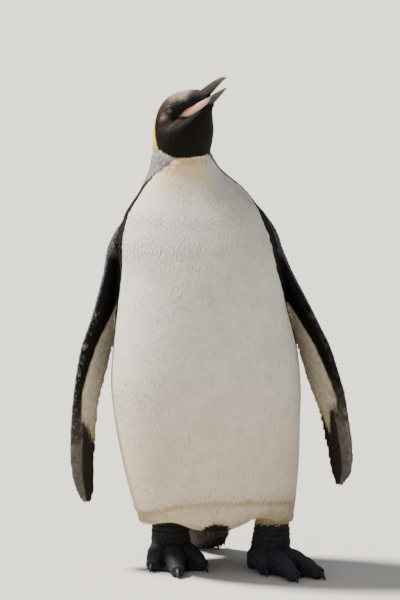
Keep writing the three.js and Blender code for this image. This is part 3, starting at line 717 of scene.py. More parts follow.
def hood_colours(points):
    """Black, browner over the crown, partly its own brown and partly painted light on the top of the
    head, with a painted highlight over the crown and forehead, bell-shaped painted light and shade of
    the folds round the eye and on the cheek, and a painted highlight along the fold behind the mouth."""
    ahead, left, up = head_place(points).T
    # Browner over the crown: partly its own brown, partly painted light on the top of the head.
    crown = smooth_step(up, *CROWN_UP) * smooth_step(ahead, *CROWN_AHEAD)
    hood = mixed(plain(HOOD_BLACK, points), HOOD_BROWN, 0.75 * crown * (0.75 + 0.4 * ripple(points, 16, 19)))
    # Painted highlight over the crown and forehead, in a band that rises towards the bill.
    drop, rise = HIGHLIGHT_SLOPES
    high = up - drop * np.maximum(HIGHLIGHT_MIDDLE - ahead, 0) + rise * np.maximum(ahead - HIGHLIGHT_MIDDLE, 0)
    painted_highlight = smooth_step(high, *HIGHLIGHT_UP)
    painted_highlight *= smooth_step(ahead, *HIGHLIGHT_BACK) * (1 - smooth_step(ahead, *HIGHLIGHT_FRONT))
    hood = mixed(hood, HOOD_PAINTED_HIGHLIGHT, 0.9 * painted_highlight * (0.85 + 0.2 * ripple(points, 9, 23)))
    # Painted light and shade of the folds round the eye and on the cheek.
    for (a, u), (long, high), colour, share in HOOD_PAINTED_SHADING:
        spot = np.exp(-(((ahead - a) / long) ** 2) - (((up - u) / high) ** 2))
        hood = mixed(hood, colour, share * (spot * (np.abs(left) > MARKS_FROM)))
    # Paler brown painted along the crest of the fold behind the mouth: a painted highlight.
    return mixed(hood, HOOD_BROWN, 0.35 * gape_ridge(points))


def head_colours(points, base):
    """Hood over the base colours, with the yellow patch behind each ear and the thin yellow line
    that runs on from it under the hood's edge."""
    z = points[:, 2]
    turn = np.abs(neck_angle(points))
    edge = along(HOOD_EDGE, turn)[:, 0] + 0.8 * ripple(points, 9, 17)
    front, back = along(EAR_PATCH, z).T
    inside = np.minimum(turn - front, back - turn) + 1.2 * ripple(points, 8, 29)
    patch = smooth_step(inside, -1.5, 1.5) * smooth_step(z, *PATCH_FOOT) * (z < PATCH_TOP)
    hood = mixed(hood_colours(points), LEMON, patch)
    below = np.exp(-(((z - edge + RIM_DROP) / RIM_HALF) ** 2)) * smooth_step(turn, *RIM_COMES)
    below *= 1 - smooth_step(turn, *RIM_GOES)
    colours = mixed(base, LEMON, 0.55 * below)
    share = np.maximum(smooth_step(z - edge, -0.8, 0.8), patch)[:, None]
    return colours * (1 - share) + hood * share


# ---------------------------------------------------------------- markings of the flippers, with painted glints

# Dark leading border on a flipper's inner face: height, and its share of the chord.
FLIPPER_BORDER = [
    (100, 0.3), (190, 0.3), (226, 0.28), (262, 0.22), (276, 0.2), (339, 0.33), (418, 0.56), (450, 0.85),
    (470, 1.3), (600, 1.5),
]
TIP_HEIGHT = {"right": 229, "left": 252}  # edge of the black tip
STRIP_HEIGHT = {"right": 196, "left": 232}  # top of the worn strip along the tip's leading half
STRIP_SHARES = (0.34, 0.44)
# Share of the pale flecks on the leading edge: partly scuffs, partly painted glints, more on the right.
FLECK_AND_GLINT_SHARE = {"right": 0.4, "left": 0.15}
FLECK_EDGE, FLECK_FROM, FLECK_TO = (0.01, 0.11), (150, 240), (385, 430)
TAN_SHARES, TAN_HEIGHTS, TAN_BEHIND = (0.7, 1.0), (300, 420), (0.46, 0.6)
SHOULDER_HEIGHTS, SHOULDER_SHARES = (484, 506), (0.4, 0.7)
OUTER_WORN_HEIGHTS = (180, 330)
TRAIL_CREAM_SHARES, TRAIL_CREAM_HEIGHTS = (0.95, 1.0), (190, 230)


def tip_tongue(share, side):
    """How far the edge of the tip's black drops across the chord: a wedge on the right flipper, and
    on the left one a bell with a step behind it."""
    if side == "right":
        return 75 * np.maximum(share - 0.4, 0)
    return 42 * np.exp(-(((share - 0.72) / 0.14) ** 2)) + 14 * smooth_step(share, 0.7, 1)


def inner_face(points, share, worn, side):
    """Cream, turning tan behind, with a black leading border and a black tip, a worn grey strip
    along the tip's leading half, pale flecks on the very edge, partly scuffs and partly painted glints
    that are stronger on the right flipper, and a slate shoulder."""
    z = points[:, 2]
    tip, strip = TIP_HEIGHT[side], STRIP_HEIGHT[side]
    edge = share + 0.012 * ripple(points, 22, 31)
    border = along(FLIPPER_BORDER, z)[:, 0]
    tan = smooth_step(share, *TAN_SHARES) * (0.8 - 0.4 * smooth_step(z, *TAN_HEIGHTS))
    inner = mixed(plain(FLIPPER_CREAM, points), FLIPPER_TAN, tan)
    inner = mixed(inner, FLIPPER_TAN, 0.5 * (1 - smooth_step(edge, border, border + 0.09)))
    inner = mixed(inner, FLIPPER_BLACK, 1 - smooth_step(edge, border - 0.03, border + 0.03))
    level = z + tip_tongue(share, side) + 6 * ripple(points * (1, 1, 0.25), 4, 41)
    behind = smooth_step(share, *TAN_BEHIND)
    inner = mixed(inner, FLIPPER_TAN, 0.6 * behind * (1 - smooth_step(level, tip, tip + 28)))
    inner = mixed(inner, FLIPPER_BLACK, 0.97 * (1 - smooth_step(level, tip - 7, tip + 7)))
    leading = 1 - smooth_step(share, *STRIP_SHARES)
    low = 1 - smooth_step(z, strip - 8, strip + 10)
    inner = mixed(inner, FLIPPER_WORN, leading * low * (0.75 + 0.25 * worn))
    upper = 1 - smooth_step(z, strip + 10, strip + 85)
    inner = mixed(inner, FLIPPER_WORN, 0.85 * leading * (0.3 + 0.7 * worn) * upper)
    # Pale flecks on the very edge: partly scuffs, partly painted glints.
    flecks = (1 - smooth_step(share, *FLECK_EDGE)) * worn * smooth_step(z, *FLECK_FROM)
    inner = mixed(inner, FLIPPER_FLECK_AND_GLINT, FLECK_AND_GLINT_SHARE[side] * (flecks * (1 - smooth_step(z, *FLECK_TO))))
    shoulder = 0.85 * smooth_step(z, *SHOULDER_HEIGHTS) * (1 - smooth_step(share, *SHOULDER_SHARES))
    return mixed(inner, SLATE, shoulder)


def outer_face(points, share, worn):
    """Dark slate, worn towards the tip, with a cream trailing edge."""
    z = points[:, 2]
    outer = mixed(plain(FLIPPER_BLACK, points), SLATE, 0.75)
    outer = mixed(outer, FLIPPER_WORN, 0.4 * worn * (1 - smooth_step(z, *OUTER_WORN_HEIGHTS)))
    trailing = 0.7 * smooth_step(share, *TRAIL_CREAM_SHARES) * smooth_step(z, *TRAIL_CREAM_HEIGHTS)
    return mixed(outer, CREAM, trailing)


def flipper_colours(points, side):
    """Inner and outer face, parted at the plane of the chord. Both wear in fine specks that
    gather in patches."""
    share, out, _ = flipper_place(points, FLIPPER_ROWS[side])
    worn = smooth_step(ripple(points, 1.3, 43) + 0.9 * ripple(points, 22, 47), 0.1, 0.8)
    face = smooth_step(out, -0.5, 0.5)[:, None]
    return inner_face(points, share, worn, side) * (1 - face) + outer_face(points, share, worn) * face


def colours_of(points, part):
    """Linear colour of the coat or skin at each point of one part of the body."""
    if part == "trunk":
        return trunk_colours(points)
    if part == "head":
        return head_colours(points, trunk_colours(points))
    kind, _, side = part.partition("_")
    if kind == "flipper":
        return flipper_colours(points, side)
    colours = plain(PLAIN[kind], points) * (1 + 0.25 * ripple(points, 12, 59))[:, None]
    if kind == "tail":
        colours = mixed(colours, LINE_BLACK, 0.7 * smooth_step(ripple(points, 15, 61), -0.2, 0.6))
    return colours


# ---------------------------------------------------------------- skin

SKIN_ROUNDS, SKIN_SHARE = 6, 0.55  # smoothing of the joined forms
SKIN_FLOOR = 0.4
SKIN_SHADE = 0.8  # the skin under the coat is darker by this factor
SHANK_FOLDS, SHANK_LINES = 7.5, 3.9  # spacing of the broad and of the fine folds round the shanks
CREASE_FRONT = 80  # angle round the trunk up to which the belly's fold runs
BELLY_ROLL = (8, 7)  # height over the fold's line, and half-width
BELLY_CREASE = (1, 4, 1.6)  # drop under that line, half-width and depth


def skin_shapes():
    """Every fleshy form of the body, drawn in by the depth of the coat on it."""
    shapes = [loft(trunk_rings()), loft(head_rings()), loft(tail_rings(DEPTH["tail"]))]
    shapes += [loft(flipper_rings(rows, DEPTH["flipper"])) for rows in FLIPPER_ROWS.values()]
    for side, (ankle, toes) in LEGS.items():
        shapes.append(loft(leg_rings(ankle, DEPTH["leg"])))
        shapes.append(loft(heel_rings(ankle, DEPTH["foot"])))
        shapes += [loft(toe_rings(side, toe, DEPTH["foot"])) for toe in toes]
        shapes += [web_shape(side, "inner", "middle"), web_shape(side, "middle", "outer")]
    return shapes


def wrinkled(points, normals, parts):
    """Raises the folds of the skin along its normals: sine waves down the shanks, a bell across the
    fold behind the mouth, and a roll over a crease low on the belly."""
    z = points[:, 2]
    broad = np.sin(z * 2 * np.pi / SHANK_FOLDS + 1.6 * ripple(points, 45, 67))
    rise = np.char.startswith(parts, "leg") * (broad + 0.5 * np.sin(z * 2 * np.pi / SHANK_LINES))
    rise += (parts == "head") * (2.0 * gape_ridge(points))
    fold = along(BELLY_FOLD, points[:, 0])[:, 0]
    front = (parts == "trunk") * (np.abs(trunk_place(points)[0]) < CREASE_FRONT)
    (over, thick), (under, narrow, deep) = BELLY_ROLL, BELLY_CREASE
    roll = np.exp(-(((z - fold - over) / thick) ** 2))
    rise += front * (roll - deep * np.exp(-(((z - fold + under) / narrow) ** 2)))
    return points + normals * rise[:, None]


def make_skin():
    """One even surface over the whole body, with the folds raised in it, thinned a little at the
    end, and the dense points, quads, normals and part names on which the coat is set."""
    points, quads = remeshed("skin", joined(skin_shapes()), SKIN_VOXEL)
    points = relaxed(points, quads, SKIN_ROUNDS, SKIN_SHARE)
    points[:, 2] = np.maximum(points[:, 2], SKIN_FLOOR)
    parts = region(points)
    points = wrinkled(points, point_normals(points, quads), parts)
    normals = point_normals(points, quads)
    piece = build("skin", (points, quads, np.zeros((0, 3), int)))
    colours = np.zeros((len(points), 3))
    for part in np.unique(parts):
        colours[parts == part] = colours_of(points[parts == part], part)
    paint(piece, colours * SKIN_SHADE)
    piece.modifiers.new("thinning", "DECIMATE").ratio = SKIN_KEPT
    return piece, points, quads, normals, parts


# ---------------------------------------------------------------- plumage

HOOD_TURN = (650, 705)  # heights between which the feathers turn from down the neck to back
FLIPPER_SWEEP = 0.15  # how far a flipper's feathers slant towards its trailing edge
TAIL_WAY = (-0.05, 0.62, -1.0)

# A vane has eight points: its root, then left, right and ridge of each of two sections, then its
# tip. The sections lie at shares of its length, width and rise. Faces go by the points' numbers.
VANE_SECTIONS = ((0.36, 0.92, 0.46), (0.76, 0.8, 0.86))
VANE_ROOT = 0.3  # depth of its root in the skin
VANE_QUADS = ((1, 3, 6, 4), (2, 5, 6, 3), (1, 4, 5, 2))
VANE_TRIS = ((0, 3, 1), (0, 2, 3), (0, 1, 2), (4, 6, 7), (5, 7, 6), (4, 7, 5))
# How light each point is, and its place on the vane's own patch of the unwrapped skin.
VANE_SHADE = (0.75, 0.92, 0.92, 0.95, 1.0, 1.0, 1.03, 1.06)
VANE_PATCH = (
    (0, 0), (0.36, 0.5), (0.36, -0.5), (0.36, 0.0), (0.76, 0.4), (0.76, -0.4), (0.76, 0.0), (1.0, 0.0),
)
PATCH_SIZE = 0.003  # share of the unwrapped skin's width
UNWRAP_MARGIN = 0.004
HEAD_MIDDLE = (-46, -8, 690)
TAIL_MIDDLE, TRUNK_MIDDLE = (-3, 80), (-10, -15)

QUAD_RIM = 0.05  # share of a quad along each side where no root is set
SIZE_SPREAD = (0.12, 0.1)  # of the vanes' lengths and widths
COAT_FLOOR = 0.5
BARE_EYE = (2.5, 13.2, 6.2, 14)  # forward, up, radius, and how far out the bare ring round it starts
HOOD_FRONT, THROAT_FRONT, THROAT_UNDER = 52, 80, -9
HEM_TOP, BELLY_TOP, BREAST_TOP = 86, 340, 600
FINE_FROM, FINE_TO = 520, 650  # heights between which the trunk's feathers grow finer


def roots(skin, wanted, spacing, seed):
    """Evenly strewn places on the skin's quads where wanted(points, part names) is true, one for
    about every spacing squared: points, normals and part names."""
    _, points, quads, normals, parts = skin
    rng = np.random.default_rng(seed)
    chosen = quads[wanted(points[quads[:, 0]], parts[quads[:, 0]])]
    corners = points[chosen]
    area = np.linalg.norm(np.cross(corners[:, 2] - corners[:, 0], corners[:, 3] - corners[:, 1]), axis=1) / 2
    count = np.floor(area / spacing**2 + rng.random(len(chosen))).astype(int)
    row = np.repeat(np.arange(len(chosen)), count)
    u, v = rng.random((2, len(row), 1)) * (1 - 2 * QUAD_RIM) + QUAD_RIM
    weights = np.stack([(1 - u) * (1 - v), u * (1 - v), u * v, (1 - u) * v], 1)
    at = (points[chosen[row]] * weights).sum(1)
    out = unit((normals[chosen[row]] * weights).sum(1))
    return at, out, parts[chosen[row][:, 0]]


def lie(points, normals, parts):
    """Direction in which the feathers lie: down the trunk, back over the head, along the flippers
    and the tail, laid flat on the surface."""
    z = points[:, 2]
    way = np.tile(-Z, (len(points), 1))
    head = smooth_step(z, *HOOD_TURN)[:, None] * (parts == "head")[:, None]
    way = way * (1 - head) - AHEAD * head
    for side, rows in FLIPPER_ROWS.items():
        own = parts == "flipper_" + side
        _, lead_x, lead_y, trail_x, trail_y, _ = np.column_stack([z, along(rows, z)]).T
        chord = unit(np.column_stack([trail_x - lead_x, trail_y - lead_y, np.zeros(len(z))]))
        way[own] = (-Z + FLIPPER_SWEEP * chord)[own]
    way[parts == "tail"] = unit(np.array(TAIL_WAY))
    way -= normals * (way * normals).sum(1)[:, None]
    return unit(way)


def vanes(at, out, way, sizes, colours, places, rng):
    """Closed leaf-shaped vanes: a point at the root, two three-cornered sections and a point at the
    tip, lying along way and lifted from 0 to rise. Returns points, quads, tris, colours and the
    places of a small patch for each vane on the unwrapped skin."""
    n = len(at)
    length, width, rise, ridge, turn = sizes
    side = np.cross(out, way)
    way = unit(way + side * rng.normal(0, turn, (n, 1)))
    side = np.cross(out, way)
    length, width, rise = (np.broadcast_to(v, n)[:, None] for v in (length, width, rise))
    points = np.empty((n, len(VANE_SHADE), 3))
    points[:, 0] = at - out * VANE_ROOT
    for k, (t, wide, lift) in enumerate(VANE_SECTIONS):
        middle = at + way * length * t + out * rise * lift
        points[:, 1 + 3 * k] = middle + side * width * wide / 2
        points[:, 2 + 3 * k] = middle - side * width * wide / 2
        points[:, 3 + 3 * k] = middle + out * ridge
    points[:, -1] = at + way * length + out * rise
    base = (np.arange(n) * len(VANE_SHADE))[:, None, None]
    quads = (np.array(VANE_QUADS) + base).reshape(-1, 4)
    tris = (np.array(VANE_TRIS) + base).reshape(-1, 3)
    tints = colours[:, None, :] * np.array(VANE_SHADE)[:, None]
    corners = places[:, None, :] + (np.array(VANE_PATCH) - (0.5, 0)) * PATCH_SIZE
    return points.reshape(-1, 3), quads, tris, tints.reshape(-1, 3), corners.reshape(-1, 2)


def folded_out(way):
    """Octahedral map of directions: the upper half on a diamond, the lower half in its corners."""
    flat = way / np.abs(way).sum(1, keepdims=True)
    u, v = flat @ LEFT, flat @ LEVEL
    low = flat[:, 2] < 0
    return np.where(low, (1 - np.abs(v)) * np.sign(u), u), np.where(low, (1 - np.abs(u)) * np.sign(v), v)


def unwrapped(points, parts):
    """Place of each root on an unwrap of the skin, from 0 to 1 both ways: angle and height round the
    trunk, tail and legs, share and height on each face of a flipper, octahedral on the head."""
    kind, _, side = parts[0].partition("_")
    v = points[:, 2]
    if kind == "head":
        u, v = folded_out(unit(points - HEAD_MIDDLE))
    elif kind == "flipper":
        share, out, _ = flipper_place(points, FLIPPER_ROWS[side])
        u, v = np.where(out < 0, share, 2.2 - share), v / 100
    elif kind == "leg":
        left = points[:, 0] > BETWEEN_FEET
        middle = np.where(left[:, None], LEGS["left"][0], LEGS["right"][0])
        u = np.arctan2(points[:, 0] - middle[:, 0], middle[:, 1] - points[:, 1]) + left * 2.2 * np.pi
    else:
        middle = TAIL_MIDDLE if kind == "tail" else TRUNK_MIDDLE
        u = np.arctan2(points[:, 0] - middle[0], middle[1] - points[:, 1])
        behind = kind == "trunk" and np.abs(trunk_place(points)[0]).min() > 60
        u = np.where(behind & (u < 0), u + 2 * np.pi, u)
    places = np.stack([u, v], 1)
    low, high = places.min(0), places.max(0)
    return UNWRAP_MARGIN + (1 - 2 * UNWRAP_MARGIN) * (places - low) / (high - low)


def coat(name, skin, wanted, spacing, seed, length, width, rise, ridge=0.3, rough=0.07, tone=0.06, turn=0.1):
    """One piece of plumage: vanes on every root that wanted() picks, sized by the given numbers or
    functions of the roots, each tinted by the markings where its tip lies."""
    rng = np.random.default_rng(seed)
    at, out, parts = roots(skin, wanted, spacing, seed)
    way = lie(at, out, parts)
    sized = [np.broadcast_to(v(at) if callable(v) else v, len(at)) for v in (length, width, rise)]
    spread = (*SIZE_SPREAD, 2 * rough)
    length, width, rise = (v * rng.normal(1, s, len(at)).clip(0.6, 1.4) for v, s in zip(sized, spread))
    tips = at + way * (0.7 * length)[:, None]
    colours = np.zeros((len(at), 3))
    for part in np.unique(parts):
        own = parts == part
        colours[own] = colours_of(tips[own], part)
    colours *= rng.normal(1, tone, (len(at), 1)).clip(0.7, 1.3)
    places = unwrapped(at, parts)
    sizes = length, width, rise, ridge, turn
    points, quads, tris, tints, corners = vanes(at, out, way, sizes, colours, places, rng)
    points[:, 2] = np.maximum(points[:, 2], COAT_FLOOR)
    piece = build(name, (points, quads, tris), smooth=False)
    paint(piece, tints)
    loops = np.empty(len(piece.data.loops), np.int32)
    piece.data.loops.foreach_get("vertex_index", loops)
    layer = piece.data.uv_layers.new(name="OFBake")
    layer.data.foreach_set("uv", corners[loops].astype(np.float32).ravel())
    return piece


def clear_of_eyes(points):
    """True away from the eyes and off the bill, but also under it, along the throat."""
    ahead, left, up = head_place(points).T
    eye_ahead, eye_up, radius, from_middle = BARE_EYE
    clear = (np.hypot(ahead - eye_ahead, up - eye_up) > radius) | (np.abs(left) < from_middle)
    return clear & (ahead < np.where(up < THROAT_UNDER, THROAT_FRONT, HOOD_FRONT))


def on_trunk(front, low, high):
    """Chooser of the trunk's front or back half between two heights."""
    def wanted(points, parts):
        facing = np.abs(trunk_place(points)[0]) < 90
        return (parts == "trunk") & (facing == front) & (points[:, 2] >= low) & (points[:, 2] < high)
    return wanted


def on_parts(*names):
    """Chooser of whole parts."""
    return lambda points, parts: np.isin(parts, names)


def on_head(left_side):
    """Chooser of the feathered head's left or right half."""
    def wanted(points, parts):
        return (parts == "head") & clear_of_eyes(points) & ((head_place(points)[:, 1] > 0) == left_side)
    return wanted


def finer_up(fine, coarse):
    """Size that goes from coarse on the trunk to fine at the throat."""
    return lambda p: coarse + (fine - coarse) * smooth_step(p[:, 2], FINE_FROM, FINE_TO)


def body_length(p):
    """Length of the trunk's feathers, 6 less near the hem."""
    return finer_up(9, 17)(p) - 6 * (1 - smooth_step(p[:, 2], 130, 240))


def hem_length(p):
    """Length that ends the hem's feathers in one even fringe."""
    return np.clip(0.55 * (p[:, 2] - TRUNK_ROWS[0][0] + HEM_DEPTH - 3 - over_legs(p)), 2.5, 13)


def hood_length(p):
    """Length that grows from the face to the nape."""
    return 4 + 2.5 * smooth_step(-head_place(p)[:, 0], -30, 40)


def tail_length(p):
    """Length that keeps the tail's feathers off the floor."""
    return np.clip(0.9 * (p[:, 2] + 6), 4, 30)


# Feathers of each kind: their sizes, then half the spread of their rise, and the spreads of their
# tone and direction.
BODY = {"length": body_length, "width": finer_up(2.3, 3.2), "rise": finer_up(0.5, 0.42),
        "ridge": 0.06, "rough": 0.04, "tone": 0.03, "turn": 0.05}
HEM = {"length": hem_length, "width": 2.0, "rise": 2.0, "ridge": 0.2, "rough": 0.2, "turn": 0.2}
HOOD = {"length": hood_length, "width": 1.6, "rise": 0.9, "ridge": 0.12, "tone": 0.13}
FLIPPER = {"length": 4.6, "width": 1.9, "rise": 0.65, "ridge": 0.15, "tone": 0.12}
LEG = {"length": 3.8, "width": 1.5, "rise": 0.7, "ridge": 0.15, "tone": 0.15}
TAIL = {"length": tail_length, "width": 3.6, "rise": 2.4, "tone": 0.2}
SCALE = {"length": 3.4, "width": 2.7, "rise": 0.55, "ridge": 0.35, "tone": 0.2}
# Each piece of the coat: name, chooser of its roots, their spacing, seed, feathers, and the slot, whose
# name its material has too.
COATS = [
    ("coat_breast", on_trunk(True, BELLY_TOP, BREAST_TOP), 2.55, 1, BODY, "body_plumage"),
    ("coat_belly", on_trunk(True, HEM_TOP, BELLY_TOP), 2.6, 2, BODY, "body_plumage"),
    ("coat_back_upper", on_trunk(False, BELLY_TOP, BREAST_TOP), 3.4, 3, BODY, "body_plumage"),
    ("coat_back_lower", on_trunk(False, HEM_TOP, BELLY_TOP), 3.5, 4, BODY, "body_plumage"),
    ("coat_neck", lambda p, q: (q == "trunk") & (p[:, 2] >= BREAST_TOP), 2.0, 5, BODY, "body_plumage"),
    ("coat_hem", lambda p, q: (q == "trunk") & (p[:, 2] < HEM_TOP), 2.3, 6, HEM, "body_plumage"),
    ("coat_hood_right", on_head(False), 1.5, 7, HOOD, "hood_plumage"),
    ("coat_hood_left", on_head(True), 1.6, 8, HOOD, "hood_plumage"),
    ("coat_flipper_right", on_parts("flipper_right"), 1.9, 9, FLIPPER, "flipper_plumage"),
    ("coat_flipper_left", on_parts("flipper_left"), 1.9, 10, FLIPPER, "flipper_plumage"),
    ("coat_legs", on_parts("leg_left", "leg_right"), 1.8, 11, LEG, "leg_plumage"),
    ("coat_tail", on_parts("tail"), 3.4, 12, TAIL, "tail_plumage"),
]


# ---------------------------------------------------------------- bill, eyes, claws and scales

# Groove along each side of the bill: sine of its angle, half-width and depth, and where it runs.
GROOVE_LEVEL = {"upper": 0.30, "lower": -0.05}
GROOVE_HALF, GROOVE_DEPTH, GROOVE_FROM, GROOVE_TO = 0.16, 0.13, (18, 34), (84, 112)
NOSTRIL_AHEAD, NOSTRIL_LONG, NOSTRIL_HALF, NOSTRIL_DEPTH = 37, 4.5, 0.10, 0.22
GAZE = (0.52, 0.84, -0.16)  # way the eye looks: ahead, out and up
IRIS_BULGE, IRIS_HALF = 0.05, 0.42
POLE_GAP = 0.03  # angle at which a ball's first and last rings stand off its poles
LID_OPENING = (0.58, 0.36)  # half-angles of the opening between the lids, across and up
LID_WIDTH = 0.4  # angle from the lid's edge to where it ends in the face
CLAW_FLOOR = 0.3
PLATES_FROM, PLATES_TO = 0.16, 0.97  # shares of a toe's length
PLATE_OVERLAP, PLATE_BOW, PLATE_ROUND, PLATE_DEPTH = 1.35, 0.25, 1.02, 1.5


def bill_rings(rows, which, steps=90, sides=56):
    """Elliptic sections along the bill, drawn in by a bell along the groove on each side, and on the
    upper bill by a second, deeper bell at the nostril."""
    ahead = np.linspace(rows[0][0], rows[-1][0], steps)
    top, bottom, half = along(rows, ahead).T
    middle = in_head(ahead, 0, (top + bottom) / 2)
    high = (top - bottom) / 2
    rings = sections(middle, LEFT, UP, half, high, high, sides)
    level = np.sin(np.arange(sides) * 2 * np.pi / sides) - GROOVE_LEVEL[which]
    reach = smooth_step(ahead, *GROOVE_FROM) * (1 - smooth_step(ahead, *GROOVE_TO))
    drawn = GROOVE_DEPTH * np.outer(reach, np.exp(-((level / GROOVE_HALF) ** 2)))
    if which == "upper":
        nostril = np.exp(-(((ahead - NOSTRIL_AHEAD) / NOSTRIL_LONG) ** 2))
        drawn += NOSTRIL_DEPTH * np.outer(nostril, np.exp(-((level / NOSTRIL_HALF) ** 2)))
    across = (rings - middle[:, None]) @ LEFT
    return rings - (across * drawn)[..., None] * LEFT


def plate_rings(sign, steps=60, sides=36):
    """Lens-shaped sections of the coloured plate, bulging outwards."""
    ahead = np.linspace(PLATE_ROWS[0][0], PLATE_ROWS[-1][0], steps)
    up, half, out = along(PLATE_ROWS, ahead).T
    middle = in_head(ahead, sign * (out - PLATE_THICK), up)
    wide = np.full(steps, 2 * PLATE_THICK)
    return sections(middle, LEFT, UP, wide, half, half, sides)


def eye_frame(sign):
    """Middle of the eyeball, then the way it looks and two directions square to that."""
    ahead, out, up = GAZE
    gaze = unit(ahead * AHEAD + sign * out * LEFT + up * UP)
    across = unit(np.cross(UP, gaze))
    return in_head(EYE_AHEAD, sign * EYE_OUT, EYE_UP), gaze, across, np.cross(gaze, across)


def eye_ball(sign, steps=40, sides=48):
    """Sphere in rings around the gaze, bulging as a bell over the iris, and each point's angle from
    the gaze."""
    centre, gaze, across, upright = eye_frame(sign)
    polar = np.linspace(POLE_GAP, np.pi - POLE_GAP, steps)
    radius = EYE_RADIUS * (1 + IRIS_BULGE * np.exp(-((polar / IRIS_HALF) ** 2)))
    middle = centre + gaze * (radius * np.cos(polar))[:, None]
    wide = radius * np.sin(polar)
    rings = sections(middle, across, upright, wide, wide, wide, sides)
    return rings, np.append(np.repeat(polar, sides), (0, np.pi))


def lid_rings(sign, steps=72, sides=20):
    """Tube around the almond-shaped opening: a rounded edge on the eyeball that slopes away into
    the face, with fine folds round it."""
    centre, gaze, across, upright = eye_frame(sign)
    around = np.linspace(0, 2 * np.pi, steps, endpoint=False)[:, None]
    section = np.arange(sides)[None] * 2 * np.pi / sides
    wide = LID_OPENING[0] * (1 + 0.10 * np.abs(np.cos(around)) ** 6)
    open_to = 1 / np.sqrt((np.cos(around) / wide) ** 2 + (np.sin(around) / LID_OPENING[1]) ** 2)
    polar = open_to + LID_WIDTH / 2 - LID_WIDTH / 2 * np.cos(section)
    fold = 0.25 * np.cos(section * 5) * np.sin(section).clip(0, 1)
    slope = 0.75 - 0.35 * (polar - open_to) / LID_WIDTH
    radius = EYE_RADIUS + 0.35 + slope * np.sin(section) + fold
    sideways = np.cos(around)[..., None] * across + np.sin(around)[..., None] * upright
    way = np.cos(polar)[..., None] * gaze + np.sin(polar)[..., None] * sideways
    return centre + radius[..., None] * way


def torus(rings):
    """Closed tube over sections (n, m, 3) that run round in a ring."""
    n, m, _ = rings.shape
    r, s = np.meshgrid(np.arange(n), np.arange(m), indexing="ij")
    a, b = r * m + s, r * m + (s + 1) % m
    c, d = ((r + 1) % n) * m + (s + 1) % m, ((r + 1) % n) * m + s
    quads = np.stack([a, b, c, d], -1).reshape(-1, 4)
    return outwards(rings.reshape(-1, 3), quads, np.zeros((0, 3), int))


def claw_rings(side, toe, steps=14, sides=16):
    """Tapering sections along a quadratic curve that bends down to just above the floor."""
    end, way = toe_line(side, toe, 1)
    forward = unit(way[0] * (1, 1, 0))
    start = np.array((end[0, 0], end[0, 1], CLAW_Z[0]))
    tip = start + forward * CLAW_LENGTH
    knee = (start + tip) / 2
    knee[2], tip[2] = CLAW_Z[1], CLAW_Z[2]
    t = np.linspace(0, 1, steps)[:, None]
    line = start * (1 - t) ** 2 + knee * 2 * t * (1 - t) + tip * t**2
    slope = unit((knee - start) * (1 - t) + (tip - knee) * t)
    across = unit(np.cross(slope, Z))
    radius = CLAW_RADIUS * (1 - CLAW_TAPER * t[:, 0] ** 1.3)
    rings = sections(line, across, np.cross(across, slope), radius * CLAW_NARROW, radius, radius, sides)
    rings[..., 2] = np.maximum(rings[..., 2], CLAW_FLOOR)
    return rings


def toe_plates(side, toe, count=17, rows=3, columns=7):
    """Overlapping plates across the top of a toe: each a curved grid round the toe, longer than the
    spacing, bowed and raised at its front edge, with a wall all round."""
    start = np.linspace(PLATES_FROM, PLATES_TO, count)[:, None, None]
    pitch = (PLATES_TO - PLATES_FROM) / (count - 1)
    ahead = np.linspace(0, 1, rows)[None, :, None]
    angle = np.linspace(-1, 1, columns)[None, None, :]
    t = np.clip(start + (ahead - 0.5) * PLATE_OVERLAP * pitch - PLATE_BOW * pitch * angle**2, 0, 1.03)
    middle, way = toe_line(side, toe, t.ravel())
    radius = toe_radius(t.ravel())
    middle[:, 2] = np.maximum(middle[:, 2], radius * TOE_FLAT - SOLE_SINK)
    across = unit(np.cross(way, Z))
    up = np.cross(across, way)
    turn = np.broadcast_to(angle * PLATE_ROUND, t.shape).ravel()
    lift = np.broadcast_to(0.15 + 0.75 * ahead - 0.45 * angle**2, t.shape).ravel()
    out = across * np.sin(turn)[:, None] + up * (TOE_FLAT * np.cos(turn))[:, None]
    top = (middle + out * (radius + lift)[:, None]).reshape(count, rows, columns, 3)
    low = (middle + out * (radius + lift - PLATE_DEPTH)[:, None]).reshape(count, rows, columns, 3)
    return plated(top, low)


def plated(top, low):
    """Closed thin shells, one for each pair of grids (n, k, m, 3)."""
    n, k, m, _ = top.shape
    index = np.arange(k * m).reshape(k, m)
    upper = np.stack([index[:-1, :-1], index[:-1, 1:], index[1:, 1:], index[1:, :-1]], -1).reshape(-1, 4)
    rim = np.concatenate([index[0, :-1], index[:-1, -1], index[-1, :0:-1], index[:0:-1, 0]])
    following = np.roll(rim, -1)
    walls = np.stack([following, rim, rim + k * m, following + k * m], -1)
    faces = np.concatenate([upper, upper[:, ::-1] + k * m, walls])
    quads = (faces + (np.arange(n) * 2 * k * m)[:, None, None]).reshape(-1, 4)
    points = np.stack([top, low], 1).reshape(-1, 3)
    return outwards(points, quads, np.zeros((0, 3), int))


# ---------------------------------------------------------------- materials

EVEN, DOWN = (1, 1, 1), (1, 1, 0.15)  # grain alike all ways, and drawn out downwards
LID_DARK = (0.014, 0.011, 0.009)
CLAW_BLACK = (0.016, 0.016, 0.017)
FLOOR_GREY = (0.62, 0.595, 0.56)

